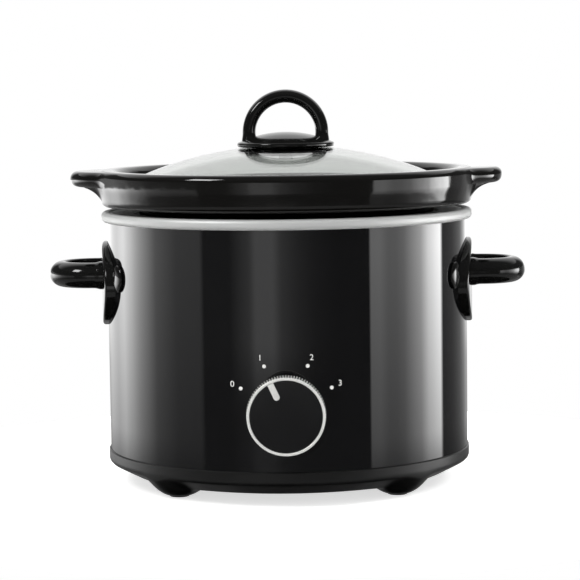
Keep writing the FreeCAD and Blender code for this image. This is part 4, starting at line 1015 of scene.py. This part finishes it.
NODE_FINISHES = [
    (zinc, "pan_stud base_washer base_nut clamp_screw clamp_nut fuse_clip switch_nut handle_screws "
           "lid_washer lid_screw"), (brass, "switch_terminals lid_insert"), (sheath, "heater_band"),
    (fuse_case, "thermal_fuse"), (sleeve, "band_leads fuse_leads"), (silicone, "lid_gasket"),
    (switch_nylon, "switch_body switch_spacer switch_shaft"), (nylon, "gland_nut cord_gland"),
    (enamel, "outer_shell"), (pan_metal, "heating_pan"), (polypropylene, "base"), (pad_rubber, "foot_pads"),
    (glaze, "crock"), (glass, "lid_glass"), (handle_abs, "lid_handle left_handle right_handle"),
    (abs_black, "knob"), (bright_trim, "knob_ring knob_pointer")]
finish_of = {name: finish for finish, names in NODE_FINISHES for name in names.split()}
for name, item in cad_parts.items():
    item.data.materials.clear()
    item.data.materials.append(finish_of[name])
print("dressed nodes:", len(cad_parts))

# %% [markdown]
# ## The studio
#
# The photograph is a product shot on white: a pale table, white card far behind, and two tall soft panels at
# the sides that draw long bright bands on the black wrap, with dark card in front. The panels and cards are
# one ring round the table whose glow depends on the angle. The camera doesn't see it, gloss and metal do.

# %% Table
TABLE_RADIUS = 270.0
TABLE_GLOW = 0.65


def stage_piece(name, mesh, material):
    """A mesh that belongs to the studio and not to the object."""
    item = bpy.data.objects.new(name, mesh)
    bpy.context.scene.collection.objects.link(item)
    mesh.materials.append(material)
    return item


table_white, table_tree, table_output, _ = new_finish("white_table")
ray = add(table_tree, "ShaderNodeLightPath")
matt = add(table_tree, "ShaderNodeBsdfDiffuse", {"Color": linear("#efefee")})
glow = add(table_tree, "ShaderNodeEmission", {"Color": (1, 1, 1, 1), "Strength": TABLE_GLOW})
glow_share = add(table_tree, "ShaderNodeMixShader", {"Fac": ray.outputs["Is Camera Ray"]})
both = add(table_tree, "ShaderNodeAddShader", {0: matt.outputs["BSDF"], 1: glow_share.outputs["Shader"]})
table_tree.links.new(glow.outputs["Emission"], glow_share.inputs[2])
table_tree.links.new(both.outputs["Shader"], table_output.inputs["Surface"])
table_line = np.array([(0.0, 0.0), (TABLE_RADIUS, 0.0)])
table = stage_piece("table", mesh_of("table", [turned(table_line, 128)]), table_white)
table.visible_glossy = False
print("table radius (mm):", TABLE_RADIUS)

# %% [markdown]
# The ring's glow is a sum of ramps over the angle seen from the axis: side panels, a faint card in front,
# white paper behind and dark card all round. A sharp step is the edge of a panel, a slope its fall-off. Each
# ramp has its own window of heights, so that only surfaces that stand nearly upright mirror the panels.

# %% Ring of panels
RING_DISTANCE = 1100.0
RING_LOW, RING_HIGH = -900.0, 700.0
BRIGHTEST = 10.0
LEFT_RAMP = [
    (-180, 0), (-168, 0.3), (-148, 2.1), (-133, 3.0), (-122, 5.0), (-112, 4.5), (-103, 3.1), (-95, 2.1),
    (-87, 1.0), (-70, 0.45), (-52.5, 0.4), (-51.5, 0), (179.9, 0)]
RIGHT_RAMP = [
    (-180, 0), (51, 0), (52, 1.9), (58, 1.95), (64, 1.4), (70, 1.4), (76, 1.8), (83, 3.2), (90, 4.5),
    (97, 8.2), (105, 9.6), (110.5, 10), (111.5, 0.15), (125, 0.2), (140, 0.45), (158, 1.0), (168, 0.3),
    (179.9, 0)]
FRONT_RAMP = [
    (-180, 0), (-34, 0.04), (-27, 0.25), (-22, 0.4), (-18, 0.85), (-8, 0.85), (-3, 0.4), (2.4, 0.26),
    (7.3, 0.16), (17, 0.05), (30, 0), (179.9, 0)]
UPRIGHT = [(-900, 0.0), (-330, 0.0), (-250, 0.1), (-160, 0.2), (-125, 0.5), (60, 1.0)]
LEFT_WINDOW = [*UPRIGHT, (88, 1.0), (102, 0.12), (170, 0.12), (240, 0.0)]
RIGHT_WINDOW = [*UPRIGHT, (170, 1.0), (240, 0.0)]
BACK_RAMP = [(-180, 1.0), (-158, 0.9), (-140, 0), (140, 0), (158, 0.9), (179.9, 1.0)]
CARD_RAMP = [(-180, 1), (179.9, 1)]
FRONT_WINDOW = [(-900, 0.0), (-200, 0.1), (-90, 0.25), (-30, 0.9), (120, 1.0), (200, 0.0)]
BACK_WINDOW = [(-900, 0.0), (-60, 0.0), (60, 1.0), (700, 1.0)]
CARD_WINDOW = [(-900, 0.34), (-380, 0.34), (-270, 0.07), (700, 0.07)]
PANEL_SETS = [(LEFT_RAMP, LEFT_WINDOW), (RIGHT_RAMP, RIGHT_WINDOW), (FRONT_RAMP, FRONT_WINDOW),
              (BACK_RAMP, BACK_WINDOW), (CARD_RAMP, CARD_WINDOW)]

panel_glow, ring_tree, ring_output, ring_where = new_finish("studio_panels")
to_front = add(ring_tree, "ShaderNodeMapping", {"Vector": ring_where, "Rotation": (0, 0, math.pi / 2)})
around = add(ring_tree, "ShaderNodeTexGradient", {"Vector": to_front.outputs["Vector"]},
             gradient_type="RADIAL")
heights = add(ring_tree, "ShaderNodeSeparateXYZ", {"Vector": ring_where})
upward = add(ring_tree, "ShaderNodeMapRange", {"Value": heights.outputs["Z"], "From Min": RING_LOW * MM,
                                               "From Max": RING_HIGH * MM})


def set_stops(ramp, stops, low, high, top):
    """Puts (place, level) stops on a ramp, with places between low and high and levels up to top."""
    marks = ramp.color_ramp.elements
    while len(marks) < len(stops):
        marks.new(0.5)
    for mark, (place, level) in zip(marks, stops):
        mark.position = (place - low) / (high - low)
        mark.color = (*[level / top] * 3, 1)


def panel_level(around_stops, window_stops):
    """Glow of one set of panels: its ramp over the angle times its window of heights."""
    over_angle = add(ring_tree, "ShaderNodeValToRGB", {"Fac": around.outputs["Fac"]})
    set_stops(over_angle, around_stops, -180, 180, BRIGHTEST)
    over_height = add(ring_tree, "ShaderNodeValToRGB", {"Fac": upward.outputs["Result"]})
    set_stops(over_height, window_stops, RING_LOW, RING_HIGH, 1)
    product = add(ring_tree, "ShaderNodeMath", {
        0: over_angle.outputs["Color"], 1: over_height.outputs["Color"]}, operation="MULTIPLY")
    return product.outputs["Value"]


total = None
for around_stops, window_stops in PANEL_SETS:
    part = panel_level(around_stops, window_stops)
    total = part if total is None else add(ring_tree, "ShaderNodeMath", {0: total, 1: part}).outputs["Value"]
glow_level = add(ring_tree, "ShaderNodeMath", {0: total, 1: BRIGHTEST}, operation="MULTIPLY")
panel_light = add(ring_tree, "ShaderNodeEmission", {"Strength": glow_level.outputs["Value"]})
ring_tree.links.new(panel_light.outputs["Emission"], ring_output.inputs["Surface"])
ring_line = np.array([(RING_DISTANCE, RING_LOW), (RING_DISTANCE, RING_HIGH)])
panels = stage_piece("panels", mesh_of("panels", [turned(ring_line, 180)]), panel_glow)
panels.visible_camera = panels.visible_transmission = False
panels.visible_diffuse = panels.visible_shadow = False
print("sets of panels:", len(PANEL_SETS))

# %% [markdown]
# The world is white card to the camera and through the glass, and a softer grey as plain light. Gloss finds
# a dark room over the ring instead, with white paper behind, apart from the soft lamps that put the crisp
# highlights on the handles and the soft shadow on the table.

# %% World and lamps
PLAIN_LEVEL = 0.85

scene = bpy.context.scene
scene.view_settings.view_transform = "Standard"
world = bpy.data.worlds.new("white_card")
scene.world = world
world.use_nodes = True
sky = world.node_tree
sky.nodes.clear()
seen = add(sky, "ShaderNodeLightPath")
direct = add(sky, "ShaderNodeMath", {
    0: seen.outputs["Is Camera Ray"], 1: seen.outputs["Is Transmission Ray"]}, operation="MAXIMUM")
facing = add(sky, "ShaderNodeSeparateXYZ", {"Vector": add(sky, "ShaderNodeTexCoord").outputs["Generated"]})
wall = add(sky, "ShaderNodeMapRange", {
    "Value": facing.outputs["Y"], "From Min": 0.2, "From Max": 0.6, "To Min": 0.1, "To Max": 0.95})
rising = add(sky, "ShaderNodeMapRange", {"Value": facing.outputs["Z"], "From Min": -0.2, "From Max": 0.0})
paper = add(sky, "ShaderNodeMath", {0: wall.outputs["Result"], 1: rising.outputs["Result"]},
            operation="MULTIPLY")
lit = add(sky, "ShaderNodeMix", {
    "Factor": seen.outputs["Is Glossy Ray"], "A": PLAIN_LEVEL, "B": paper.outputs["Value"]})
level = add(sky, "ShaderNodeMix", {"Factor": direct.outputs["Value"], "A": lit.outputs["Result"], "B": 1.0})
card = add(sky, "ShaderNodeBackground", {"Color": (1, 1, 1, 1), "Strength": level.outputs["Result"]})
add(sky, "ShaderNodeOutputWorld", {"Surface": card.outputs["Background"]})


def soft_lamp(name, place, target, size, power):
    """Square soft box at a place in millimetres, aimed at a target."""
    lamp = bpy.data.lights.new(name, "AREA")
    lamp.size = size * MM
    lamp.energy = power
    item = bpy.data.objects.new(name, lamp)
    bpy.context.scene.collection.objects.link(item)
    way = (np.array(target) - np.array(place)) * MM
    item.location = np.array(place) * MM
    item.rotation_euler = Vector(way).to_track_quat("-Z", "Y").to_euler()
    item.visible_camera = False
    return item


top_box = soft_lamp("top_box", place=(0, -150, 1200), target=(0, 0, 80), size=800, power=9)
top_box.visible_glossy = False
top_box.visible_transmission = False
left_box = soft_lamp("left_box", place=(-700, -500, 800), target=(0, 0, 120), size=300, power=4)
right_box = soft_lamp("right_box", place=(800, -100, 700), target=(0, 0, 120), size=250, power=3)
right_box.visible_glossy = False
print("lamps:", [lamp.name for lamp in (top_box, left_box, right_box)])

# %% [markdown]
# ## The camera
#
# A long lens, well back and a little above the lid, pitched down by a few degrees and not quite level. These
# were found from the ellipses of the rim, the ring and the base in the photograph.

# %% Camera
FOCAL_PIXELS = 2331.0
FRAME_PIXELS = 580.0
CAMERA_PLACE = (1.4, -1299.3, 224.3)
PITCH = math.radians(5.232)
ROLL = math.radians(0.7)
YAW = math.radians(0.7)

lens = bpy.data.cameras.new("camera")
lens.sensor_width = 36.0
lens.lens = FOCAL_PIXELS / FRAME_PIXELS * lens.sensor_width
eye = bpy.data.objects.new("camera", lens)
scene.collection.objects.link(eye)
level_right = np.array([1.0, 0.0, 0.0])
level_up = np.array([0.0, math.sin(PITCH), math.cos(PITCH)])
right = level_right * math.cos(ROLL) - level_up * math.sin(ROLL)
up = level_right * math.sin(ROLL) + level_up * math.cos(ROLL)
back = np.cross(right, up)
about_z = np.array([[math.cos(YAW), -math.sin(YAW), 0], [math.sin(YAW), math.cos(YAW), 0], [0, 0, 1]])
pose = np.eye(4)
pose[:3, :3] = about_z @ np.stack([right, up, back], axis=1)
pose[:3, 3] = about_z @ np.array(CAMERA_PLACE) * MM
eye.matrix_world = Matrix(pose.tolist())
scene.camera = eye
print(f"lens {lens.lens:.1f} mm at {CAMERA_PLACE}")
